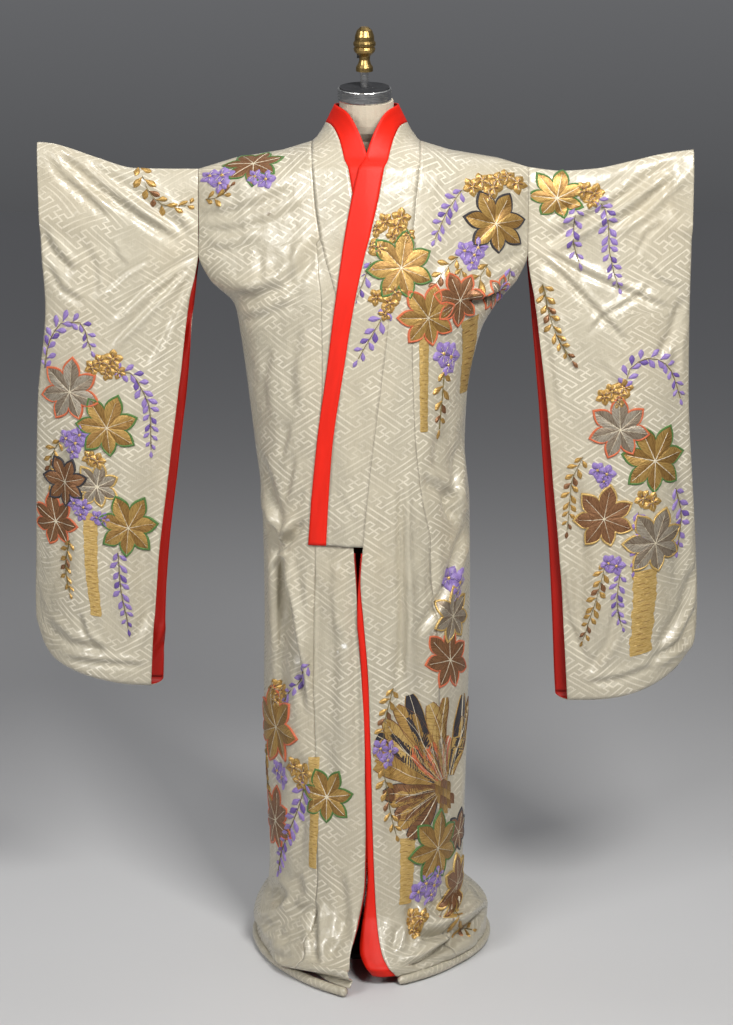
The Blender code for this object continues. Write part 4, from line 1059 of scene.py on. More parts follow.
def acrossBand(band, first, last, count):
    # Points across each row of a band between two shares of its width, straight between its own points.
    place = (first[:, None] + (last - first)[:, None] * np.linspace(0, 1, count)) * (band.shape[1] - 1)
    low = np.clip(place.astype(int), 0, band.shape[1] - 2)
    share = (place - low)[..., None]
    rows = np.arange(len(band))[:, None]
    return band[rows, low] * (1 - share) + band[rows, low + 1] * share


def sleeveLevels(rows=230):
    # Levels of a sleeve from its top fold to its bottom fold, closer where the cloth turns over.
    highest, lowest = sleeveFacts["top"], sleeveFacts["bottom"]
    over = highest - clothFacts["shoulderRounding"] * (1 - np.cos(np.radians(np.linspace(0, 90, 11))))
    under = lowest + sleeveFacts["bottomRounding"] * (1 - np.cos(np.radians(np.linspace(90, 0, 6))))
    middle = np.linspace(over[-1], under[0], rows)[1:-1]
    return np.concatenate([over, middle, under])


def sleevePoints(side):
    # The sleeve as one closed band of rows: the front layer from its bottom fold up, the back layer down.
    across = np.concatenate([np.linspace(0, 0.94, 76), [0.95, 0.965, 0.98, 0.991, 1.0]])
    front = sleeveCloth(side, -1, across, sleeveLevels()[::-1, None])
    back = sleeveCloth(side, 1, across, sleeveLevels()[1:-1, None])
    return np.concatenate([front, back])


def wristFaces(rows, columns, shut):
    # Faces that close the outer end below the wrist opening, front layer to back layer.
    last = columns - 1
    i = np.arange(1, shut)
    front, frontNext = i * columns + last, (i + 1) * columns + last
    back, backNext = ((rows - i) % rows) * columns + last, ((rows - i - 1) % rows) * columns + last
    return np.stack([back, backNext, frontNext, front], axis=-1)


def makeSleeve(side, satin, scarlet):
    name = "sleeve_" + sideNames[side]
    points = sleevePoints(side)
    cloth = clothCoordinates(np.concatenate([points, points[:1]]), (0.013, 0.021))
    level = sleeveLevels()
    shut = int(np.sum(level < sleeveFacts["wristOpening"]))
    extra = wristFaces(*points.shape[:2], shut)
    mesh = sheetMesh(name + "_cloth", points, cloth, (0, -1, 0), closed=True, extra=extra)
    # The inner side takes the red it is given, the shaded copy: painted shade inside the sleeve.
    piece = addPiece(name + "_cloth", mesh, [satin, scarlet], [name])
    addWall(piece, clothFacts["wall"], 1)
    return points


def makeSleeveLining(side, scarlet):
    name = "sleeve_lining_" + sideNames[side]
    level = sleeveLevels()
    level = level[(level <= sleeveFacts["wristOpening"]) & (level > 0.575)][:, None]
    points = sleeveCloth(side, 1, np.linspace(0.004, 0.3, 30), level)
    points = points - np.array([0, clothFacts["facingDepth"], 0])
    mesh = sheetMesh(name + "_cloth", points, clothCoordinates(points), (0, 1, 0))
    # Its red is the shaded copy that it is given: painted shade inside the sleeve.
    piece = addPiece(name + "_cloth", mesh, [scarlet], [name])
    addWall(piece, clothFacts["wall"])


def makeBody(side, satin, scarlet, facing):
    name = sideNames[side]
    points = bodyPanelParts(side)
    mesh = sheetMesh("body_panel_" + name + "_cloth", points, clothCoordinates(points, (0.004, 0.007)),
                     (0, -1, 0))
    panel = addPiece(mesh.name, mesh, [satin, scarlet], ["body_panel_" + name])
    addWall(panel, clothFacts["wall"], 1)
    points = overlapPanelPoints(side)
    mesh = sheetMesh("overlap_panel_" + name + "_cloth", points, clothCoordinates(points, (0.031, 0.05)),
                     (0, -1, 0))
    overlap = addPiece(mesh.name, mesh, [satin, scarlet], ["overlap_panel_" + name])
    addWall(overlap, clothFacts["wall"], 1)
    points = frontLiningPoints(side)
    mesh = sheetMesh("front_lining_" + name + "_cloth", points, clothCoordinates(points), (0, -1, 0))
    # facing is the shaded red copy on the wearer's right: painted shade behind that front edge.
    lining = addPiece(mesh.name, mesh, [facing], ["front_lining_" + name])
    addWall(lining, clothFacts["wall"])


def makeCollar(satin, scarlet):
    band, share = collarBand()
    none, every = np.zeros(len(band)), np.ones(len(band))
    gap = clothFacts["seamGap"] / 0.1
    points = acrossBand(band, none, 1 - share - gap, 12)
    mesh = sheetMesh("collar_cloth", points, clothCoordinates(points, (0.02, 0.03)), (0, -1, 0))
    outer = addPiece("collar_cloth", mesh, [satin, scarlet], ["collar"])
    addWall(outer, clothFacts["wall"], 1)
    points = acrossBand(band, 1 - share, every, 9)
    mesh = sheetMesh("collar_lining_cloth", points, clothCoordinates(points), (0, -1, 0))
    red = addPiece("collar_lining_cloth", mesh, [scarlet], ["collar_lining"])
    addWall(red, clothFacts["wall"])


rollFacts = {"radius": 0.010, "inset": 0.004, "uneven": 0.08, "wave": 0.045}


def makeHemRoll(side, padded):
    # The padded roll: a circle carried along the hem, its radius swelling and shrinking by two slow waves.
    name = "hem_roll_" + sideNames[side]
    level = np.array(clothFacts["hem"])
    radius = rollFacts["radius"]
    first = turnOf(side, edgeAt[ofSide("edge", side)](level) + radius / 3, level)
    front = bodyPoint(side, -1, first + (np.pi / 2 - first) * np.linspace(0, 1, 70), level)
    back = bodyPoint(side, 1, np.linspace(np.pi / 2, 0.0, 80)[1:], level)
    path = np.concatenate([front, back])
    path[-1, :2] = side * clothFacts["seamGap"], path[-2, 1]
    middle = np.array([0.0, float(bodyAt["sideY"](level)), 0.0])
    path = middle + (path - middle) * (1 - rollFacts["inset"])
    path[:, 2] = clothFacts["hem"] - radius - 2 * clothFacts["seamGap"]
    along = np.concatenate([[0], np.cumsum(np.linalg.norm(np.diff(path, axis=0), axis=1))])
    wanted = np.linspace(0, along[-1], 240)
    path = np.stack([np.interp(wanted, along, path[:, k]) for k in range(3)], axis=-1)
    ahead = np.gradient(path, axis=0)
    ahead /= np.linalg.norm(ahead, axis=1, keepdims=True)
    sideways = np.cross(ahead, (0, 0, 1.0))
    phase = wanted / rollFacts["wave"]
    waves = np.sin(phase * 2) * 0.6 + np.sin(phase * 3.7 + side) * 0.4
    size = radius * (1 - rollFacts["uneven"] * (0.5 + 0.5 * waves))
    capped = np.minimum(wanted, along[-1] - wanted)
    size = size * np.sqrt(np.clip(1 - (1 - np.clip(capped / 0.008, 0, 1)) ** 2, 0.02, 1))
    turn = np.linspace(0, 2 * np.pi, 25)
    ring = np.cos(turn)[None, :, None] * sideways[:, None] + np.sin(turn)[None, :,
        None] * np.array([0, 0, 1.0])
    points = path[:, None] + ring * size[:, None, None]
    cloth = np.stack(
        [np.broadcast_to(turn * radius, points.shape[:2]),
         np.broadcast_to(wanted[:, None], points.shape[:2])], axis=-1
    )
    mesh = tubeMesh(name + "_padding", points[:, :-1], cloth)
    piece = addPiece(mesh.name, mesh, [padded], [name])


def tubeMesh(name, rings, cloth):
    # A closed tube through rings of points, with its two ends filled, and cloth coordinates one column wider.
    rows, columns = rings.shape[:2]
    place = np.arange(rows * columns).reshape(rows, columns)
    joined = np.concatenate([place, place[:, :1]], axis=1)
    shown = np.arange(rows * (columns + 1)).reshape(rows, columns + 1)
    pick = lambda grid: np.stack([grid[:-1, :-1], grid[:-1, 1:], grid[1:, 1:], grid[1:, :-1]],
                                 axis=-1).reshape(-1, 4)
    faces, corners = pick(joined).tolist(), pick(shown).tolist()
    ends = [place[0, ::-1].tolist(), place[-1].tolist()]
    endCorners = [shown[0, :-1][::-1].tolist(), shown[-1, :-1].tolist()]
    mesh = bpy.data.meshes.new(name)
    mesh.from_pydata(rings.reshape(-1, 3).tolist(), [], faces + ends)
    layer = mesh.uv_layers.new(name="cloth")
    flat = [c for face in corners + endCorners for c in face]
    layer.data.foreach_set("uv", cloth.reshape(-1, 2)[flat].ravel())
    centre = rings[0].mean(axis=0)
    mesh.update()
    if mesh.polygons[0].normal.dot(mesh.vertices[faces[0][0]].co - Vector(centre)) < 0:
        mesh.flip_normals()
    mesh.shade_smooth()
    return mesh


# Threads: colour, a deeper tone for their patchiness, metal and roughness. other names a darker thread laid
# on one half of each leaf lobe: painted shade, for the same thread turned away from the light.
threadFacts = {
    "gold": {"colour": (0.600, 0.385, 0.125), "deep": (0.300, 0.165, 0.040), "metallic": 0.55,
             "roughness": 0.36, "other": "darkGold"},
    # darkGold: painted shade on one half of each gold leaf lobe; the scales take it as a plain thread.
    "darkGold": {"colour": (0.400, 0.235, 0.070), "deep": (0.190, 0.095, 0.025), "metallic": 0.55,
                 "roughness": 0.38},
    "paleGold": {"colour": (0.700, 0.500, 0.200), "deep": (0.470, 0.290, 0.075), "metallic": 0.55,
                 "roughness": 0.38},
    "silver": {"colour": (0.480, 0.430, 0.350), "deep": (0.220, 0.175, 0.125), "metallic": 0.5,
               "roughness": 0.36, "other": "shadedSilver"},
    # shadedSilver: painted shade on one half of each silver leaf lobe.
    "shadedSilver": {"colour": (0.330, 0.275, 0.205), "deep": (0.150, 0.105, 0.070), "metallic": 0.5,
                   "roughness": 0.38},
    "bronze": {"colour": (0.330, 0.165, 0.075), "deep": (0.140, 0.060, 0.028), "metallic": 0.5,
               "roughness": 0.38},
    "purple": {"colour": (0.275, 0.190, 0.460), "deep": (0.180, 0.115, 0.340), "metallic": 0.0,
               "roughness": 0.42},
    "deepPurple": {"colour": (0.150, 0.085, 0.340), "deep": (0.085, 0.045, 0.210), "metallic": 0.0,
                   "roughness": 0.45},
    "green": {"colour": (0.075, 0.190, 0.030), "deep": (0.035, 0.100, 0.015), "metallic": 0.0,
              "roughness": 0.5},
    "black": {"colour": (0.018, 0.014, 0.020), "deep": (0.008, 0.006, 0.010), "metallic": 0.0,
              "roughness": 0.5},
    "orange": {"colour": (0.620, 0.150, 0.045), "deep": (0.420, 0.070, 0.025), "metallic": 0.0,
               "roughness": 0.5},
    "olive": {"colour": (0.230, 0.180, 0.070), "deep": (0.130, 0.095, 0.030), "metallic": 0.2,
              "roughness": 0.5},
    "cream": {"colour": (0.780, 0.710, 0.560), "deep": (0.540, 0.460, 0.320), "metallic": 0.2,
              "roughness": 0.45},
}
threadOrder = list(threadFacts)


def makeStitchGroup():
    # Threads laid side by side: fine stripes square to the first stitch coordinate, in metres, broken by a
    # noise that is stretched along the threads; and a slower patchiness from thread to thread.
    group, given, wanted = newGroup("laidThreads", {"Stitch": ("Vector", None)},
                                    {"Height": "Float", "Shade": "Float"})
    fine = addNode(group, "ShaderNodeMapping",
                   {"Vector": given["Stitch"], "Scale": (1350, 110, 1)}).outputs[0]
    fineNoise = addNode(group, "ShaderNodeTexNoise", {"Vector": fine, "Scale": 1.0, "Detail": 1.0}).outputs[0]
    broad = addNode(group, "ShaderNodeMapping", {"Vector": given["Stitch"], "Scale": (330, 60, 1)}).outputs[0]
    broadNoise = addNode(group, "ShaderNodeTexNoise",
                         {"Vector": broad, "Scale": 1.0, "Detail": 2.0}).outputs[0]
    group.links.new(calc(group, "MULTIPLY_ADD", broadNoise, 0.8, fineNoise), wanted["Height"])
    both = calc(group, "ADD", fineNoise, broadNoise)
    shade = addNode(group, "ShaderNodeMapRange", {0: both, 1: 0.72, 2: 1.28, 3: 0.0, 4: 1.0}).outputs[0]
    group.links.new(shade, wanted["Shade"])
    return group


def makeThread(name, stitches):
    facts = threadFacts[name]
    finish, tree, shader = newMaterial(name + "Thread")
    stitch = addNode(tree, "ShaderNodeUVMap", uv_map="stitch").outputs[0]
    laid = useGroup(tree, stitches, {"Stitch": stitch})
    colour = blendColours(tree, laid["Shade"], rgba(*facts["deep"]), rgba(*facts["colour"]))
    tree.links.new(colour, shader.inputs["Base Color"])
    bump = addNode(tree, "ShaderNodeBump", {"Height": laid["Height"], "Distance": 0.0005, "Strength": 1.0})
    tree.links.new(bump.outputs[0], shader.inputs["Normal"])
    shader.inputs["Roughness"].default_value = facts["roughness"]
    shader.inputs["Metallic"].default_value = facts["metallic"]
    if facts["metallic"] == 0:
        shader.inputs["Sheen Weight"].default_value = 0.2
    return finish


class ClothMap:
    # A laid-out patch of cloth: points and normals on a grid, with cloth coordinates across each row and
    # along one column, so that a flat motif can be put on it.

    def __init__(self, points, zeroX, outward, side=0, edge=None):
        self.points = points
        normal = np.cross(np.gradient(points, axis=1), np.gradient(points, axis=0))
        normal /= np.maximum(np.linalg.norm(normal, axis=2, keepdims=True), 1e-12)
        middle = normal[normal.shape[0] // 2, normal.shape[1] // 2]
        self.normals = normal if middle @ np.array(outward, float) > 0 else -normal
        across = arcLengths(points, 1)
        zero = np.array([np.interp(zeroX, row[:, 0], a) for row, a in zip(points, across)])
        self.across = across - zero[:, None]
        self.along = arcLengths(points, 0)[:, points.shape[1] // 2]
        self.low, self.high = self.across[:, 0].copy(), self.across[:, -1].copy()
        if side:
            edgeAcross = np.array([np.interp(side * e, row[:, 0], a) for e, row,
                                   a in zip(edge, points, self.across)])
            if side > 0:
                self.low = edgeAcross
            else:
                self.high = edgeAcross
        self.view = np.stack(toView(points), axis=-1)

    def find(self, x, y):
        # Cloth coordinates under a pixel of the view: those of the nearest grid point, moved by the local
        # slopes.
        away = np.hypot(self.view[..., 0] - x, self.view[..., 1] - y)
        r, c = np.unravel_index(np.argmin(away), away.shape)
        r1 = r + 1 if r + 1 < away.shape[0] else r - 1
        c1 = c + 1 if c + 1 < away.shape[1] else c - 1
        slopes = np.stack([self.view[r1, c] - self.view[r, c], self.view[r, c1] - self.view[r, c]], axis=1)
        share = np.clip(np.linalg.solve(slopes + np.eye(2) * 1e-9, np.array([x, y]) - self.view[r, c]), -1, 1)
        u = self.across[r, c] + share[1] * (self.across[r, c1] - self.across[r, c])
        return u, self.along[r] + share[0] * (self.along[r1] - self.along[r])

    def unit(self, x, y):
        # Metres of cloth to a pixel at a spot, the mean of both ways.
        u, v = self.find(x, y)
        step = 0.02
        place, _ = self.put(np.array([u, u + step, u]), np.array([v, v, v + step]), np.zeros(3))
        seen = np.stack(toView(place), axis=-1)
        return float(np.clip(2 * step / np.linalg.norm(seen[1:] - seen[0], axis=1).sum(), 0.0018, 0.0029))

    def put(self, u, v, height):
        # Points at cloth coordinates u, v, raised along the cloth's normal, and whether each lies on the
        # patch.
        rows, columns = self.across.shape
        at = np.interp(v, self.along, np.arange(rows))
        r = np.clip(at.astype(int), 0, rows - 2)
        t = at - r
        line = self.across[r] * (1 - t)[:, None] + self.across[r + 1] * t[:, None]
        c = np.clip((line < u[:, None]).sum(axis=1) - 1, 0, columns - 2)
        here = np.arange(len(u))
        s = np.clip((u - line[here, c]) / np.maximum(line[here, c + 1] - line[here, c], 1e-9), 0, 1)
        low, high = np.interp(v, self.along, self.low), np.interp(v, self.along, self.high)
        inside = (u >= low) & (u <= high) & (v >= self.along[0]) & (v <= self.along[-1])
        weights = [(1 - t) * (1 - s), (1 - t) * s, t * (1 - s), t * s]
        corners = [(r, c), (r, c + 1), (r + 1, c), (r + 1, c + 1)]
        place = sum(w[:, None] * self.points[i, j] for w, (i, j) in zip(weights, corners))
        normal = sum(w[:, None] * self.normals[i, j] for w, (i, j) in zip(weights, corners))
        normal /= np.maximum(np.linalg.norm(normal, axis=1, keepdims=True), 1e-12)
        return place + normal * height[:, None], inside


class Stitching:
    # Motifs gathered for one patch of cloth, as grids of cloth coordinates, heights, stitch coordinates and
    # threads.

    def __init__(self):
        self.parts = []
        self.lift = 0.0  # raises what is added, all but its lowest edges

    def add(self, u, v, height, stitchA, stitchB, thread, closed=False):
        grids = [np.asarray(g, float) for g in np.broadcast_arrays(u, v, height, stitchA, stitchB)]
        grids[2] = grids[2] + self.lift * (grids[2] > 0.0003)
        rows, columns = grids[0].shape
        place = np.arange(rows * columns).reshape(rows, columns)
        if closed:
            place = np.concatenate([place, place[:, :1]], axis=1)
        quads = np.stack([place[:-1, :-1], place[:-1, 1:], place[1:, 1:], place[1:, :-1]],
                         axis=-1).reshape(-1, 4)
        self.parts.append((np.stack([g.ravel() for g in grids], axis=-1), quads, threadOrder.index(thread)))

    def make(self, name, patch, finishes):
        offset, points, quads, threads = 0, [], [], []
        for values, faces, thread in self.parts:
            points.append(values)
            quads.append(faces + offset)
            threads.append(np.full(len(faces), thread))
            offset += len(values)
        values, faces, threads = np.concatenate(points), np.concatenate(quads), np.concatenate(threads)
        place, inside = patch.put(values[:, 0], values[:, 1], values[:, 2])
        kept = inside[faces].all(axis=1)
        faces, threads = faces[kept], threads[kept]
        a, b, c, d = (place[faces[:, k]] for k in range(4))
        facing = np.cross(c - a, d - b)
        outward, _ = patch.put(values[:, 0], values[:, 1], values[:, 2] + 0.01)
        turned = (facing * (outward - place)[faces[:, 0]]).sum(axis=1) < 0
        faces[turned] = faces[turned][:, ::-1]
        used = np.unique(faces)
        renumber = np.zeros(len(place), int)
        renumber[used] = np.arange(len(used))
        mesh = bpy.data.meshes.new(name)
        mesh.from_pydata(place[used].tolist(), [], renumber[faces].tolist())
        layer = mesh.uv_layers.new(name="stitch")
        layer.data.foreach_set("uv", values[faces.ravel(), 3:5].ravel())
        piece = addPiece(name, mesh, [finishes[t] for t in threadOrder])
        mesh.polygons.foreach_set("material_index", threads.astype(np.int32))
        mesh.shade_smooth()
        mesh.update()
        return piece


reliefFacts = {"lift": 0.0005, "leaf": 0.0011, "vein": 0.0019, "petal": 0.0011, "cord": 0.0017,
               "stake": 0.0009}


def addLeaf(work, centre, radius, turn, body, edge, lobes=7, vein="cream"):
    # A maple leaf: from the sinus to each tip the radius falls as a power of a power of the way off the
    # lobe's middle, which gives full sides and a sharp tip. Threads run in chevrons from each rib, the two
    # halves of a lobe in lighter and darker thread, the darker one painted shade, and a cord lies round the
    # edge.
    half, width, sinus = 7, 2 * np.pi / lobes, 0.57
    # the darker thread for one half of each lobe: painted shade
    other = threadFacts[body].get("other", body)
    rises = np.array([0.35, 0.8, 1.0, 0.95, 0.8, 0.6, 0.35])[:, None]
    edges = []
    for k in range(2 * lobes):
        middle = (k // 2 + 0.5) * width
        off = np.linspace(-width / 2, 0, half + 1) if k % 2 == 0 else np.linspace(0, width / 2, half + 1)
        share = np.abs(off) / (width / 2)
        size = 0.96 + 0.08 * math.cos(middle) + 0.03 * math.sin(middle * 3 + turn)
        outline = radius * size * (sinus + (1 - sinus) * np.clip(1 - share**0.82, 0, 1) ** 0.66)
        r = outline * np.array([0.0, 0.15, 0.35, 0.55, 0.75, 0.9, 0.97])[:, None]
        angle = middle + off + turn
        ridge = 0.35 + 0.65 * np.sin(np.pi * np.clip(share, 0.06, 0.94)) ** 0.6
        height = reliefFacts["lift"] + reliefFacts["leaf"] * rises * ridge
        along, aside = r * np.cos(off), np.abs(r * np.sin(off))
        u, v = centre[0] + r * np.cos(angle), centre[1] + r * np.sin(angle)
        work.add(u, v, height, along * 0.6 - aside * 0.8, along * 0.8 + aside * 0.6, body if k % 2 else other)
        edges.append(np.stack([outline, angle], axis=-1)[:-1])
    outline, angle = np.concatenate(edges).T
    ring = outline * 0.965 + np.array([-0.0026, -0.0014, 0.0006, 0.0024, 0.0034])[:, None]
    rise = np.array([0.5, 1.0, 1.1, 0.9, 0.0])[:, None] * reliefFacts["cord"]
    run = np.concatenate([[0], np.cumsum(np.abs(np.diff(ring[2])) + ring[2][1:] * np.abs(np.diff(angle)))])
    u, v = centre[0] + ring * np.cos(angle), centre[1] + ring * np.sin(angle)
    work.add(u, v, rise + 0.0002, run, ring, edge, closed=True)
    for k in range(lobes):
        heading = (k + 0.5) * width + turn
        way = np.array([math.cos(heading), math.sin(heading)])
        line = np.array(centre) + np.linspace(0.0, radius * 0.80, 9)[:, None] * way
        halfWidths = np.linspace(0.0026, 0.0009, 9)
        addRibbon(work, line, np.full(9, heading), halfWidths, reliefFacts["vein"], vein)
        for start in np.arange(0.16, 0.72, 0.14):
            dash = np.array(centre) + np.array([start, start + 0.035, start + 0.07])[:, None] * radius * way
            addRibbon(work, dash, np.full(3, heading), np.full(3, 0.0006), reliefFacts["vein"] + 0.0004,
                      "bronze")


def addPetal(work, root, direction, length, width, thread, fullness=1.45, extra=0.0):
    # A padded petal: half width a sine of a power of the way along it, height a dome across it.
    s = np.linspace(0, 1, 7)[:, None]
    t = np.linspace(-1, 1, 5)
    half = width / 2 * np.sin(np.pi * np.clip(s, 0.03, 0.97) ** fullness) ** 0.8
    along = s * length
    dx, dy = math.cos(direction), math.sin(direction)
    u = root[0] + along * dx - half * t * dy
    v = root[1] + along * dy + half * t * dx
    height = reliefFacts["lift"] + reliefFacts["petal"] * (1 - t**2) * np.sin(np.pi * np.clip(s, 0.08,
        0.92)) ** 0.5
    height = np.where(np.abs(t) == 1, 0.0001, height + extra)
    work.add(u, v, height, half * t + along * 0.35, along, thread)


def smoothPath(points, count):
    # Even places and directions along a curve through the given points.
    points = np.array(points, float)
    at = np.concatenate([[0], np.cumsum(np.hypot(*np.diff(points, axis=0).T))])
    fine = np.linspace(0, at[-1], 200)
    curve = np.stack([curveThrough(at, points[:, k])(fine) for k in (0, 1)], axis=-1)
    run = np.concatenate([[0], np.cumsum(np.hypot(*np.diff(curve, axis=0).T))])
    wanted = np.linspace(0, run[-1], count)
    place = np.stack([np.interp(wanted, run, curve[:, k]) for k in (0, 1)], axis=-1)
    step = np.gradient(place, axis=0)
    return place, np.arctan2(step[:, 1], step[:, 0]), run[-1]


def addRibbon(work, place, heading, halfWidths, rise, thread):
    # A raised cord or band along a path, three points across.
    t = np.array([-1.0, 0.0, 1.0])
    half = np.asarray(halfWidths)[:, None]
    u = place[:, :1] - half * t * np.sin(heading)[:, None]
    v = place[:, 1:] + half * t * np.cos(heading)[:, None]
    run = np.concatenate([[0], np.cumsum(np.hypot(*np.diff(place, axis=0).T))])[:, None]
    height = 0.0002 + rise * (1 - np.abs(t)) + 0 * half
    work.add(u, v, height, run + 0 * t, half * t, thread)


def addSprig(work, path, petal, thread, spacing=None, stem="olive", lean=0.75, second=None):
    # A hanging wisteria spray: pairs of petals along a stem, leaning toward its tip and shrinking along it.
    spacing = spacing or petal * 0.80
    _, _, length = smoothPath(path, 8)
    count = max(4, int(length / spacing))
    place, heading, _ = smoothPath(path, count)
    addRibbon(work, place, heading, np.full(count, 0.0007), 0.0012, stem)
    for i in range(count):
        way = i / max(count - 1, 1)
        size = petal * (0.72 + 0.5 * math.sin(math.pi * min(way * 0.9 + 0.22, 1)) * 0.7)
        for side in (-1, 1):
            if i == count - 1 and side > 0:
                continue
            swing = lean + 0.22 * math.sin(i * 2.3 + side)
            direction = heading[i] + side * swing if i < count - 1 else heading[i]
            ahead = np.array([math.cos(heading[i]), math.sin(heading[i])])
            start = place[i] + ahead * spacing * 0.3 * (side > 0)
            root = start + 0.002 * np.array([math.cos(direction), math.sin(direction)])
            pick = second if second and (i * 2 + side) % 5 == 0 else thread
            addPetal(work, root, direction, size * (0.95 + 0.1 * math.sin(i * 1.7)), size * 0.52, pick)


def addBlossom(work, centre, radius, thread, turn=0.0, petals=5, heart="paleGold", vein=None):
    # A small flower: pointed oval petals, each with a darker base and a pale rib, round a padded heart.
    for k in range(petals):
        direction = turn + 2 * math.pi * k / petals + 0.12 * math.sin(k * 3.1 + turn)
        way = np.array([math.cos(direction), math.sin(direction)])
        root = np.array(centre) + radius * 0.08 * way
        addPetal(work, root, direction, radius * 0.92, radius * 0.80, thread, 1.15)
        if vein:
            addPetal(work, root + (0, 0), direction, radius * 0.46, radius * 0.34, vein, 1.1, 0.0006)
        line = np.linspace(root, root + radius * 0.55 * way, 4)
        addRibbon(work, line, np.full(4, direction), np.full(4, 0.0005), 0.0030, "cream")
    angle = np.linspace(0, 2 * np.pi, 10, endpoint=False)
    ring = np.array([0.01, 0.6, 1.0])[:, None] * radius * 0.20
    u, v = centre[0] + ring * np.cos(angle), centre[1] + ring * np.sin(angle)
    work.add(u, v, np.array([0.0030, 0.0027, 0.0002])[:, None] + 0 * u, ring + 0 * u,
             angle * radius * 0.1 + 0 * u, heart, True)


def addCluster(work, centre, spread, count, radius, thread, heart="paleGold", vein=None):
    # Blossoms laid close together on a sunflower spiral, each turned differently.
    for k in range(count):
        away = spread * math.sqrt((k + 0.3) / count)
        turn = k * 2.4
        place = (centre[0] + away * math.cos(turn) * 1.15, centre[1] + away * math.sin(turn) * 0.85)
        addBlossom(work, place, radius * (1 - 0.12 * (k % 3)), thread, k * 0.9, 5, heart, vein)


def addStake(work, path, width, taper=1.0, thread="paleGold", bars="bronze"):
    # A couched stake: a flat band of short threads across it, a little ragged, with short dark bars.
    count = 46
    place, heading, length = smoothPath(path, count)
    way = np.linspace(0, 1, count)
    half = width / 2 * (1 + (taper - 1) * way)
    half = half * (1 + 0.05 * np.sin(way * 41) + 0.04 * np.sin(way * 97 + 1))
    t = np.linspace(-1, 1, 5)
    u = place[:, :1] - half[:, None] * t * np.sin(heading)[:, None]
    v = place[:, 1:] + half[:, None] * t * np.cos(heading)[:, None]
    height = reliefFacts["lift"] + reliefFacts["stake"] * np.sqrt(1 - t**2 * 0.98) + 0 * half[:, None]
    work.add(u, v, height, (way * length)[:, None] + 0 * t, half[:, None] * t, thread)
    for k in range(int(length / 0.012)):
        i = int((k + 0.5) * 0.012 / length * (count - 1))
        shift = 0.55 * math.sin(k * 2.2)
        ahead = np.array([math.cos(heading[i]), math.sin(heading[i])])
        square = np.array([-ahead[1], ahead[0]])
        middle = place[i] + square * half[i] * shift * 0.6
        line = np.linspace(middle - square * half[i] * 0.30, middle + square * half[i] * 0.30, 3)
        addRibbon(work, line, np.full(3, heading[i] + math.pi / 2), np.full(3, 0.0005), 0.0022, bars)


def addFeather(work, path, width, thread, edge, bars=None):
    # A long feather: a padded blade that swells from its root and narrows to a soft point, with a rib, a
    # corded edge and slanting bars.
    count = 30
    place, heading, length = smoothPath(path, count)
    way = np.linspace(0, 1, count)
    half = width / 2 * np.sin(np.pi * (0.06 + 0.90 * way) ** 1.25) ** 0.6
    t = np.linspace(-1, 1, 7)
    slant = np.abs(t) * width * 0.35
    u = place[:, :1] - half[:, None] * t * np.sin(heading)[:, None]
    v = place[:, 1:] + half[:, None] * t * np.cos(heading)[:, None]
    height = reliefFacts["lift"] + reliefFacts["petal"] * np.sqrt(np.abs(np.sin(np.pi * t))) + 0 * half[:,
        None]
    work.add(u, v, height, (way * length)[:, None] - slant, half[:, None] * t, thread)
    addRibbon(work, place, heading, np.full(count, 0.0007), 0.0022, "cream")
    for side in (-1, 1):
        square = np.stack([-np.sin(heading), np.cos(heading)], axis=-1)
        addRibbon(work, place + square * side * half[:, None], heading, np.full(count, 0.0010), 0.0018, edge)
    for k in range(int(length / 0.016) if bars else 0):
        i = min(int((k + 0.8) * 0.016 / length * (count - 1)), count - 2)
        for side in (-1, 1):
            direction = heading[i] + side * 1.0
            start = place[i]
            tip = start + half[i] * 1.05 * np.array([math.cos(direction), math.sin(direction)])
            addRibbon(work, np.linspace(start, tip, 4), np.full(4, direction), np.full(4, 0.0007), 0.0020,
                      bars)


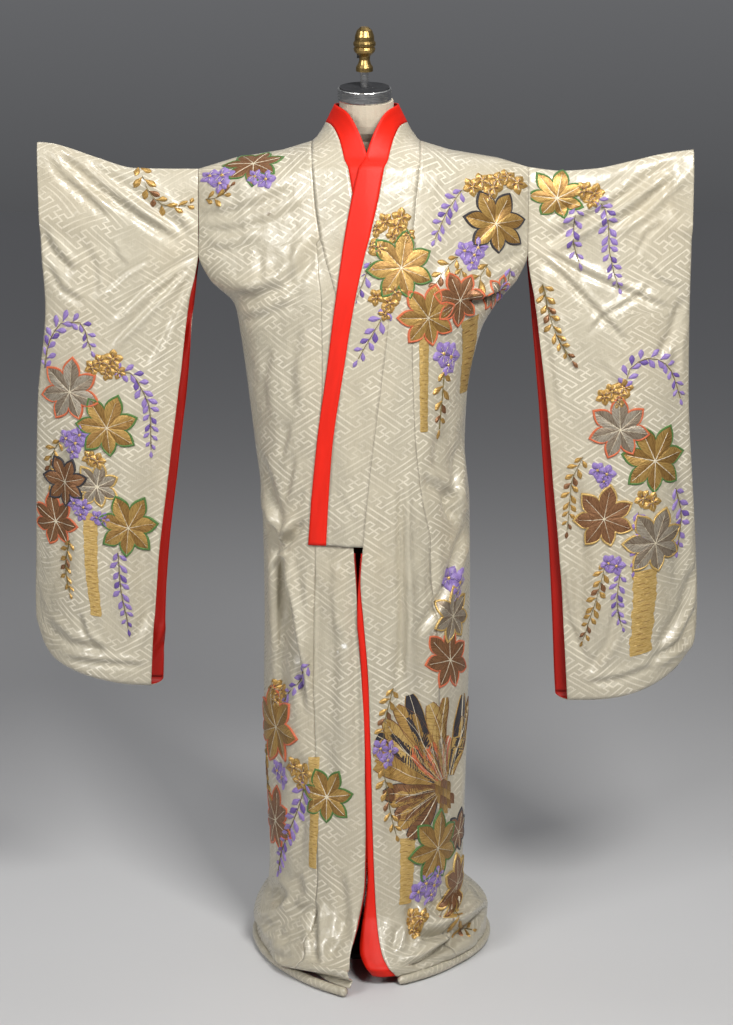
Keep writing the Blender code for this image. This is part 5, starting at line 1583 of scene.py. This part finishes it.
# Where each motif lies, in view pixels: sizes are pixels too, turns are radians.
layout = {
    "sleeve_right": [
        ("sprig", [(45, 368), (51, 338), (62, 323), (78, 322), (91, 350)], 10, "purple", "deepPurple"),
        ("sprig", [(140, 166), (148, 190), (164, 205), (180, 207), (198, 200)], 9, "gold", "bronze"),
        ("cluster", (106, 366), 14, 6, 10, "gold", "bronze"),
        ("leaf", (70, 392), 33, 0.35, "silver", "orange"),
        ("sprig", [(112, 371), (128, 372), (142, 390), (150, 412), (151, 450)], 10.5, "purple", "deepPurple"),
        ("leaf", (107, 428), 34, 0.1, "gold", "green"),
        ("cluster", (72, 443), 13, 4, 10, "purple", "deepPurple"),
        ("cluster", (94, 461), 7, 2, 9, "gold", "bronze"),
        ("sprig", [(60, 440), (51, 458), (50, 484)], 8.5, "gold", "bronze"),
        ("leaf", (66, 482), 24, 0.9, "bronze", "black"),
        ("leaf", (97, 487), 25, 0.2, "silver", "paleGold"),
        ("cluster", (80, 507), 10, 3, 9, "purple", "deepPurple"),
        ("leaf", (56, 521), 27, 0.6, "bronze", "orange"),
        ("leaf", (128, 528), 33, -0.1, "gold", "green"),
        ("cluster", (101, 520), 6, 2, 8, "purple", "deepPurple"),
        ("stake", [(90, 513), (91, 560), (96, 616)], 15, 0.72),
        ("sprig", [(118, 552), (121, 590), (128, 628)], 10, "purple", "deepPurple"),
        ("sprig", [(70, 540), (66, 566), (70, 592)], 8.5, "gold", "bronze"),
    ],
    "sleeve_left": [
        ("leaf", (557, 198), 30, 0.25, "gold", "green"),
        ("cluster", (590, 194), 11, 3, 11, "gold", "bronze"),
        ("sprig", [(576, 208), (573, 232), (579, 262)], 10, "purple", "deepPurple"),
        ("sprig", [(596, 198), (607, 215), (609, 245), (619, 287)], 10.5, "purple", "deepPurple"),
        ("sprig", [(543, 284), (548, 308), (556, 335), (572, 360)], 10.5, "gold", "bronze"),
        ("sprig", [(624, 388), (632, 366), (650, 358), (668, 366), (680, 398)], 10.5, "purple", "deepPurple"),
        ("cluster", (617, 395), 12, 5, 10, "gold", "bronze"),
        ("leaf", (620, 430), 33, 0.5, "silver", "orange"),
        ("leaf", (655, 461), 36, 0.0, "gold", "green"),
        ("cluster", (603, 474), 10, 3, 10, "purple", "deepPurple"),
        ("sprig", [(583, 457), (571, 486), (567, 530)], 10, "gold", "bronze"),
        ("leaf", (604, 519), 34, 0.3, "bronze", "paleGold"),
        ("cluster", (648, 502), 8, 2, 10, "gold", "bronze"),
        ("leaf", (655, 543), 34, 0.15, "silver", "paleGold"),
        ("sprig", [(675, 488), (681, 516), (677, 550)], 10, "purple", "deepPurple"),
        ("cluster", (613, 566), 7, 2, 10, "purple", "deepPurple"),
        ("sprig", [(606, 562), (596, 600), (583, 640)], 10, "gold", "bronze"),
        ("stake", [(645, 570), (643, 612), (641, 654)], 25, 0.9),
        ("sprig", [(638, 512), (640, 540), (634, 570)], 9.5, "purple", "deepPurple"),
        ("sprig", [(620, 574), (617, 600), (622, 626)], 9, "purple", "deepPurple"),
    ],
    "body_right": [
        ("sprig", [(206, 199), (218, 198), (230, 187)], 9, "gold", "bronze"),
        ("cluster", (218, 177), 10, 3, 10.5, "purple", "deepPurple"),
        ("leaf", (254, 164), 24, 0.8, "bronze", "green"),
        ("cluster", (262, 180), 9, 2, 9.5, "purple", "deepPurple"),
        ("sprig", [(309, 664), (298, 684), (283, 706)], 10, "purple", "deepPurple"),
        ("leaf", (277, 727), 33, 0.6, "gold", "orange"),
        ("cluster", (277, 692), 10, 3, 10, "gold", "bronze"),
        ("stake", [(314, 757), (314, 812), (313, 868)], 11, 0.8),
        ("leaf", (327, 797), 29, 0.0, "gold", "green"),
        ("cluster", (300, 772), 11, 3, 10, "gold", "bronze"),
        ("leaf", (276, 820), 26, 0.4, "bronze", "orange"),
        ("sprig", [(306, 780), (297, 812), (286, 840), (279, 870)], 10.5, "purple", "deepPurple"),
        ("cluster", (282, 776), 7, 2, 9, "purple", "deepPurple"),
        ("sprig", [(268, 744), (266, 768), (270, 792)], 8.5, "gold", "bronze"),
    ],
    "body_left": [
        ("cluster", (392, 227), 18, 6, 10.5, "gold", "bronze"),
        ("cluster", (376, 249), 7, 2, 10, "gold", "bronze"),
        ("sprig", [(371, 262), (364, 280), (357, 298)], 10, "purple", "deepPurple"),
        ("leaf", (401, 268), 37, 0.3, "gold", "green"),
        ("cluster", (384, 303), 17, 4, 10, "gold", "bronze"),
        ("sprig", [(388, 308), (375, 330), (358, 359)], 11.5, "purple", "deepPurple"),
        ("sprig", [(462, 190), (449, 208), (435, 239)], 10.5, "purple", "deepPurple"),
        ("cluster", (488, 187), 15, 5, 10.5, "gold", "bronze"),
        ("cluster", (512, 182), 8, 2, 10, "gold", "bronze"),
        ("leaf", (496, 224), 34, 0.08, "gold", "black"),
        ("cluster", (470, 255), 12, 4, 11, "purple", "deepPurple"),
        ("sprig", [(458, 257), (443, 272), (431, 294)], 10.5, "gold", "bronze"),
        ("sprig", [(488, 264), (479, 280), (470, 302)], 10.5, "gold", "bronze"),
        ("sprig", [(462, 268), (456, 286), (446, 302)], 9.5, "gold", "bronze"),
        ("sprig", [(510, 268), (506, 284), (499, 302)], 9, "purple", "deepPurple"),
        ("leaf", (460, 300), 27, 0.9, "bronze", "orange"),
        ("leaf", (490, 290), 18, 0.3, "silver", "orange"),
        ("leaf", (428, 318), 32, 0.2, "gold", "orange"),
        ("stake", [(424, 330), (424, 380), (424, 432)], 10, 0.8),
        ("stake", [(470, 318), (469, 356), (464, 392)], 20, 0.85),
        ("cluster", (447, 357), 9, 3, 12.5, "purple", "deepPurple"),
        ("sprig", [(444, 371), (442, 396), (439, 429)], 10.5, "gold", "bronze"),
        ("cluster", (456, 583), 10, 3, 11, "purple", "deepPurple"),
        ("leaf", (452, 616), 24, 0.5, "silver", "paleGold"),
        ("leaf", (450, 660), 28, 0.2, "bronze", "orange"),
        ("sprig", [(393, 688), (385, 720), (381, 758)], 10, "gold", "bronze"),
        ("cluster", (386, 752), 10, 3, 10, "purple", "deepPurple"),
        ("sprig", [(383, 768), (388, 800), (396, 834)], 10, "gold", "bronze"),
        ("fan", (446, 790), 102, 152, 70, 9, 17, [
            ("gold", "bronze", "bronze"), ("black", "gold", None), ("paleGold", "bronze", "bronze")]),
        ("fan", (442, 788), 60, 186, 236, 5, 15,
         [("bronze", "black", "black"), ("gold", "bronze", "bronze")]),
        ("fan", (444, 786), 50, 128, 84, 5, 15, [("orange", "paleGold", None), ("silver", "bronze", None)]),
        ("scales", (452, 812), (436, 766), 26, ["gold", "bronze", "darkGold"]),
        ("scales", (436, 778), (428, 752), 12, ["orange", "bronze"]),
        ("petal", (430, 760), (419, 748), 10, "paleGold"),
        ("petal", (422, 750), (412, 751), 4, "black"),
        ("leaf", (437, 848), 32, 0.3, "gold", "green"),
        ("leaf", (458, 832), 18, 0.3, "bronze", "black"),
        ("stake", [(408, 838), (407, 872), (405, 904)], 15, 0.85),
        ("cluster", (430, 886), 13, 5, 10.5, "purple", "deepPurple"),
        ("leaf", (456, 884), 24, 0.6, "bronze", "paleGold"),
        ("cluster", (418, 920), 10, 3, 9.5, "gold", "bronze"),
        ("sprig", [(452, 908), (458, 922), (472, 930)], 9, "gold", "bronze"),
    ],
}


def stitchOne(work, patch, kind, *rest):
    # One motif of the layout, its pixels turned into cloth coordinates and its sizes into metres of cloth.
    place = lambda spot: np.array(patch.find(*spot))
    first = rest[0][0] if isinstance(rest[0], list) else rest[0]
    unit = patch.unit(*first)
    if kind == "leaf":
        spot, radius, turn, body, edge = rest
        addLeaf(work, place(spot), radius * unit, turn + math.pi / 2, body, edge)
    elif kind == "sprig":
        path, petal, thread, second = rest
        addSprig(work, [place(spot) for spot in path], petal * unit, thread, second=second)
    elif kind == "cluster":
        spot, spread, count, radius, thread, vein = rest
        addCluster(work, place(spot), spread * unit, count, radius * unit, thread, "paleGold", vein)
    elif kind == "stake":
        path, width, taper = rest
        addStake(work, [place(spot) for spot in path], width * unit, taper)
    elif kind == "feather":
        path, width, thread, edge, bars = rest
        addFeather(work, [place(spot) for spot in path], width * unit, thread, edge, bars)
    elif kind == "fan":
        hinge, reach, first, last, count, width, threads = rest
        for k, heading in enumerate(np.radians(np.linspace(first, last, count))):
            length = reach * (1 - 0.14 * ((k * 3) % 4) / 3)
            way = np.array([math.cos(heading), -math.sin(heading)])
            bend = np.array([-way[1], way[0]]) * 0.05 * length * (1 if k % 2 else -1)
            path = [np.array(hinge) + way * length * 0.16, np.array(hinge) + way * length * 0.6 + bend]
            path = [place(spot) for spot in path + [np.array(hinge) + way * length]]
            thread, edge, bars = threads[k % len(threads)]
            addFeather(work, path, width * unit, thread, edge, bars)
    elif kind == "scales":
        first, last, width, threads = rest
        root, tip = place(first), place(last)
        away = tip - root
        length, heading = math.hypot(*away), math.atan2(away[1], away[0])
        ahead, aside = away / length, np.array([-away[1], away[0]]) / length
        rows = max(3, int(length / (width * unit * 0.22)))
        for r in range(rows):
            swell = math.sin(math.pi * (0.18 + 0.7 * r / rows)) ** 0.6
            for c in range(-1, 2):
                shift = (c + 0.5 * (r % 2)) * width * unit * 0.3 * swell
                start = tip - ahead * length * r / rows - ahead * 0.25 * length / rows + aside * shift
                addPetal(work, start, heading, width * unit * 0.42, width * unit * 0.34,
                         threads[(r + c) % len(threads)], 1.2)
    elif kind == "petal":
        first, last, width, thread = rest
        root, tip = place(first), place(last)
        away = tip - root
        addPetal(work, root, math.atan2(away[1], away[0]), math.hypot(*away), width * unit, thread)


def clothPatches():
    # The four patches that carry motifs: the outer layer of each front and each sleeve, rows from the
    # bottom up and columns toward the viewer's right.
    patches = {}
    for side in (-1, 1):
        level = frontLevels[::-1][:, None]
        points = bodyCloth(side, -1, np.linspace(-0.6, 1.5, 150), level)
        edge = edgeAt[ofSide("edge", side)](level[:, 0])
        if side > 0:  # the outer collar lies on the same surface, as far as its red half
            onCollar = (level[:, 0] > clothFacts["collarEnd"]) & (level[:, 0] < clothFacts["collarNeck"])
            ivory = edge + (collarAt["tip"](level[:, 0]) - edge) * (1 - collarAt["redShare"](level[:, 0]))
            edge = np.where(onCollar, ivory, edge)
        edge = edge + 0.002
        patches["body_" + sideNames[side]] = ClothMap(points[:, ::side], 0.0, (0, -1, 0), side, edge)
        level = sleeveLevels()[::-1, None]
        points = sleeveCloth(side, -1, np.linspace(0.004, 0.992, 120), level)
        patches["sleeve_" + sideNames[side]] = ClothMap(points[:, ::side], side * 0.45, (0, -1, 0))
    return patches


def spotsOnFront(places):
    # The places on the fronts that view pixels show.
    points = np.concatenate([bodyCloth(s, -1, np.linspace(-0.4, 1.4, 300),
                                       frontLevels[:, None]) for s in (-1, 1)])
    seenX, seenY = toView(points)
    return [points.reshape(-1, 3)[np.argmin(np.hypot(seenX - x, seenY - y))] for x, y in places]


# How far each kind lies above the stakes and the fan, and how far every second leaf lies above the others,
# in metres.
layers = {"leaf": 0.0003, "cluster": 0.0022, "sprig": 0.0015, "second": 0.0017}


def makeEmbroidery(finishes):
    pieces = {}
    for name, patch in clothPatches().items():
        work = Stitching()
        for count, motif in enumerate(layout[name]):
            work.lift = layers.get(motif[0], 0.0) + layers["second"] * (motif[0] == "leaf" and count % 2)
            stitchOne(work, patch, *motif)
        pieces[name] = work.make("embroidery_" + name, patch, finishes)
    return pieces


formFacts = {
    "linen": (0.560, 0.500, 0.395),
    "linenDark": (0.470, 0.410, 0.310),
    "steel": (0.820, 0.820, 0.810),
    "plate": (0.028, 0.029, 0.032),
    "brass": (0.420, 0.290, 0.110),
    "brassDark": (0.180, 0.110, 0.040),
}


def makeLinen():
    finish, tree, shader = newMaterial("formLinen")
    place = addNode(tree, "ShaderNodeTexCoord").outputs["Object"]
    warp = addNode(tree, "ShaderNodeMapping", {"Vector": place, "Scale": (1500, 1500, 260)}).outputs[0]
    weft = addNode(tree, "ShaderNodeMapping", {"Vector": place, "Scale": (260, 260, 1500)}).outputs[0]
    warpNoise = addNode(tree, "ShaderNodeTexNoise", {"Vector": warp, "Scale": 1.0, "Detail": 1.0}).outputs[0]
    weftNoise = addNode(tree, "ShaderNodeTexNoise", {"Vector": weft, "Scale": 1.0, "Detail": 1.0}).outputs[0]
    weave = calc(tree, "ADD", warpNoise, weftNoise)
    share = addNode(tree, "ShaderNodeMapRange", {0: weave, 1: 0.7, 2: 1.3, 3: 0.0, 4: 1.0}).outputs[0]
    colour = blendColours(tree, share, rgba(*formFacts["linenDark"]), rgba(*formFacts["linen"]))
    tree.links.new(colour, shader.inputs["Base Color"])
    bump = addNode(tree, "ShaderNodeBump", {"Height": weave, "Distance": 0.0006, "Strength": 1.0})
    tree.links.new(bump.outputs[0], shader.inputs["Normal"])
    shader.inputs["Roughness"].default_value = 0.85
    shader.inputs["Sheen Weight"].default_value = 0.15
    return finish


def makeMetal(name, colour, dark, roughness, metallic, scale=(40, 40, 900), specular=0.5):
    # Turned metal: fine rings round the axis in its roughness and colour, and soft darker patches.
    finish, tree, shader = newMaterial(name)
    place = addNode(tree, "ShaderNodeTexCoord").outputs["Object"]
    rings = addNode(tree, "ShaderNodeMapping", {"Vector": place, "Scale": scale}).outputs[0]
    ringNoise = addNode(tree, "ShaderNodeTexNoise", {"Vector": rings, "Scale": 1.0, "Detail": 2.0}).outputs[0]
    patch = addNode(tree, "ShaderNodeTexNoise", {"Vector": place, "Scale": 45.0, "Detail": 4.0}).outputs[0]
    share = addNode(tree, "ShaderNodeMapRange", {0: patch, 1: 0.5, 2: 0.75, 3: 0.0, 4: 0.8}).outputs[0]
    tree.links.new(blendColours(tree, share, rgba(*colour), rgba(*dark)), shader.inputs["Base Color"])
    rough = addNode(
        tree, "ShaderNodeMapRange", {0: ringNoise, 1: 0.3, 2: 0.7, 3: roughness - 0.06, 4: roughness + 0.08}
    ).outputs[0]
    tree.links.new(rough, shader.inputs["Roughness"])
    bump = addNode(tree, "ShaderNodeBump", {"Height": ringNoise, "Distance": 0.00006, "Strength": 1.0})
    tree.links.new(bump.outputs[0], shader.inputs["Normal"])
    shader.inputs["Metallic"].default_value = metallic
    shader.inputs["Specular IOR Level"].default_value = specular
    return finish


def turnedMesh(name, profile, count=20):
    # A turned piece closed at both ends: each pair is a radius and a height along z.
    profile = np.array(profile, float)
    angle = np.linspace(0, 2 * np.pi, count, endpoint=False)
    rings = np.stack(
        [
            profile[:, :1] * np.cos(angle),
            profile[:, :1] * np.sin(angle),
            np.broadcast_to(profile[:, 1:], (len(profile), count)),
        ],
        axis=-1,
    )
    place = np.arange(rings.shape[0] * count).reshape(-1, count)
    joined = np.concatenate([place, place[:, :1]], axis=1)
    faces = np.stack([joined[:-1, :-1], joined[:-1, 1:], joined[1:, 1:], joined[1:, :-1]],
                     axis=-1).reshape(-1, 4)
    return rings.reshape(-1, 3), faces.tolist() + [place[0, ::-1].tolist(), place[-1].tolist()]


# Screws of the form: head radius and height, and where they sit against the plate and the finial.
screwFacts = {"radius": 0.0032, "height": 0.0012, "spread": 0.020, "thumb": 0.0042, "reach": 0.012}


def makeScrews(dark):
    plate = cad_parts["neck_plate"]
    corners = np.array([plate.matrix_world @ v.co for v in plate.data.vertices])
    middle = corners.mean(axis=0)
    axis = np.linalg.svd(corners - middle)[2][2]  # the plate's thin direction, turned upward
    axis = axis * np.sign(axis[2])
    across = np.cross([0, 1.0, 0], axis)
    across /= np.linalg.norm(across)
    turn = np.array([across, np.cross(axis, across), axis])
    middle = middle + axis * np.max((corners - middle) @ axis)
    radius, height = screwFacts["radius"], screwFacts["height"]
    dome = [(radius, 0.0), (radius, height * 0.5), (radius * 0.8, height), (radius * 0.25, height),
            (0.0003, height * 0.4)]
    points, faces, total = [], [], 0
    for way in (-1, 1):
        made, corners = turnedMesh("screw", dome)
        moved = made + (way * screwFacts["spread"], -screwFacts["spread"] * 0.5, -0.0002)
        points.append(moved @ turn + middle)
        faces += [[c + total for c in face] for face in corners]
        total += len(made)
    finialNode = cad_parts["finial"]
    box = np.array([finialNode.matrix_world @ Vector(c) for c in finialNode.bound_box])
    thumb, reach = screwFacts["thumb"], screwFacts["reach"]
    stub = [(thumb * 0.4, 0.0), (thumb * 0.4, reach * 0.5), (thumb, reach * 0.55), (thumb, reach),
            (0.0004, reach)]
    made, corners = turnedMesh("thumb", stub)
    middle = box.mean(axis=0)
    level = box[:, 2].min() + (box[:, 2].max() - box[:, 2].min()) * 0.36
    points.append(np.stack([middle[0] - 0.003 - made[:, 2], middle[1] + made[:, 0], level + made[:, 1]],
                           axis=-1))
    faces += [[c + total for c in face[::-1]] for face in corners]
    mesh = bpy.data.meshes.new("form_screws")
    mesh.from_pydata(np.concatenate(points).tolist(), [], faces)
    mesh.update()
    addPiece("form_screws", mesh, [dark])


def finishForm():
    # The form's own solids keep their shape and get real finishes.
    linen = makeLinen()
    steel = makeMetal("turnedSteel", formFacts["steel"], (0.45, 0.45, 0.45), 0.24, 1.0)
    plate = makeMetal("darkPlate", formFacts["plate"], (0.045, 0.045, 0.05), 0.75, 0.0, (300, 300, 300), 0.08)
    brass = makeMetal("agedBrass", formFacts["brass"], formFacts["brassDark"], 0.34, 1.0)
    enamel = makeMetal("blackEnamel", (0.015, 0.015, 0.016), (0.03, 0.03, 0.03), 0.35, 0.0, (200, 200, 200))
    finishes = {
        "form_torso": linen,
        "neck_cap": steel,
        "neck_plate": plate,
        "neck_rod": steel,
        "finial": brass,
        "pole": steel,
        "base": enamel,
    }
    makeScrews(enamel)
    for name, finish in finishes.items():
        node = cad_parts[name]
        node.data.materials.clear()
        node.data.materials.append(finish)


makeCamera()
makeStudio()
fret = makeFretGroup()
marks = makeMarksGroup(spotsOnFront([mark[0] for mark in markFacts]))
satin, padded = makeSatin(fret, marks), makePadded(fret, marks)
scarlet = makeScarlet("scarletSilk", scarletFacts["colour"], scarletFacts["deep"])
# A darker copy of the red silk: painted shade for the insides of the sleeves, their linings and the wearer's
# right front lining.
shadedScarlet = makeScarlet("shadedScarletSilk", scarletFacts["inner"], scarletFacts["inner"])
print("camera, light and cloth finishes made")
for side in (-1, 1):
    makeBody(side, satin, scarlet, scarlet if side > 0 else shadedScarlet)
    makeSleeve(side, satin, shadedScarlet)
    makeSleeveLining(side, shadedScarlet)
    makeHemRoll(side, padded)
makeCollar(satin, scarlet)
print("cloth pieces made")
stitches = makeStitchGroup()
threads = {name: makeThread(name, stitches) for name in threadOrder}
embroidery = makeEmbroidery(threads)
stitchedOn = {"body_" + name: "body_panel_" + name for name in sideNames.values()}
stitchedOn.update({"sleeve_" + name: "sleeve_" + name for name in sideNames.values()})
print("embroidery laid")
finishForm()
print("form finished")
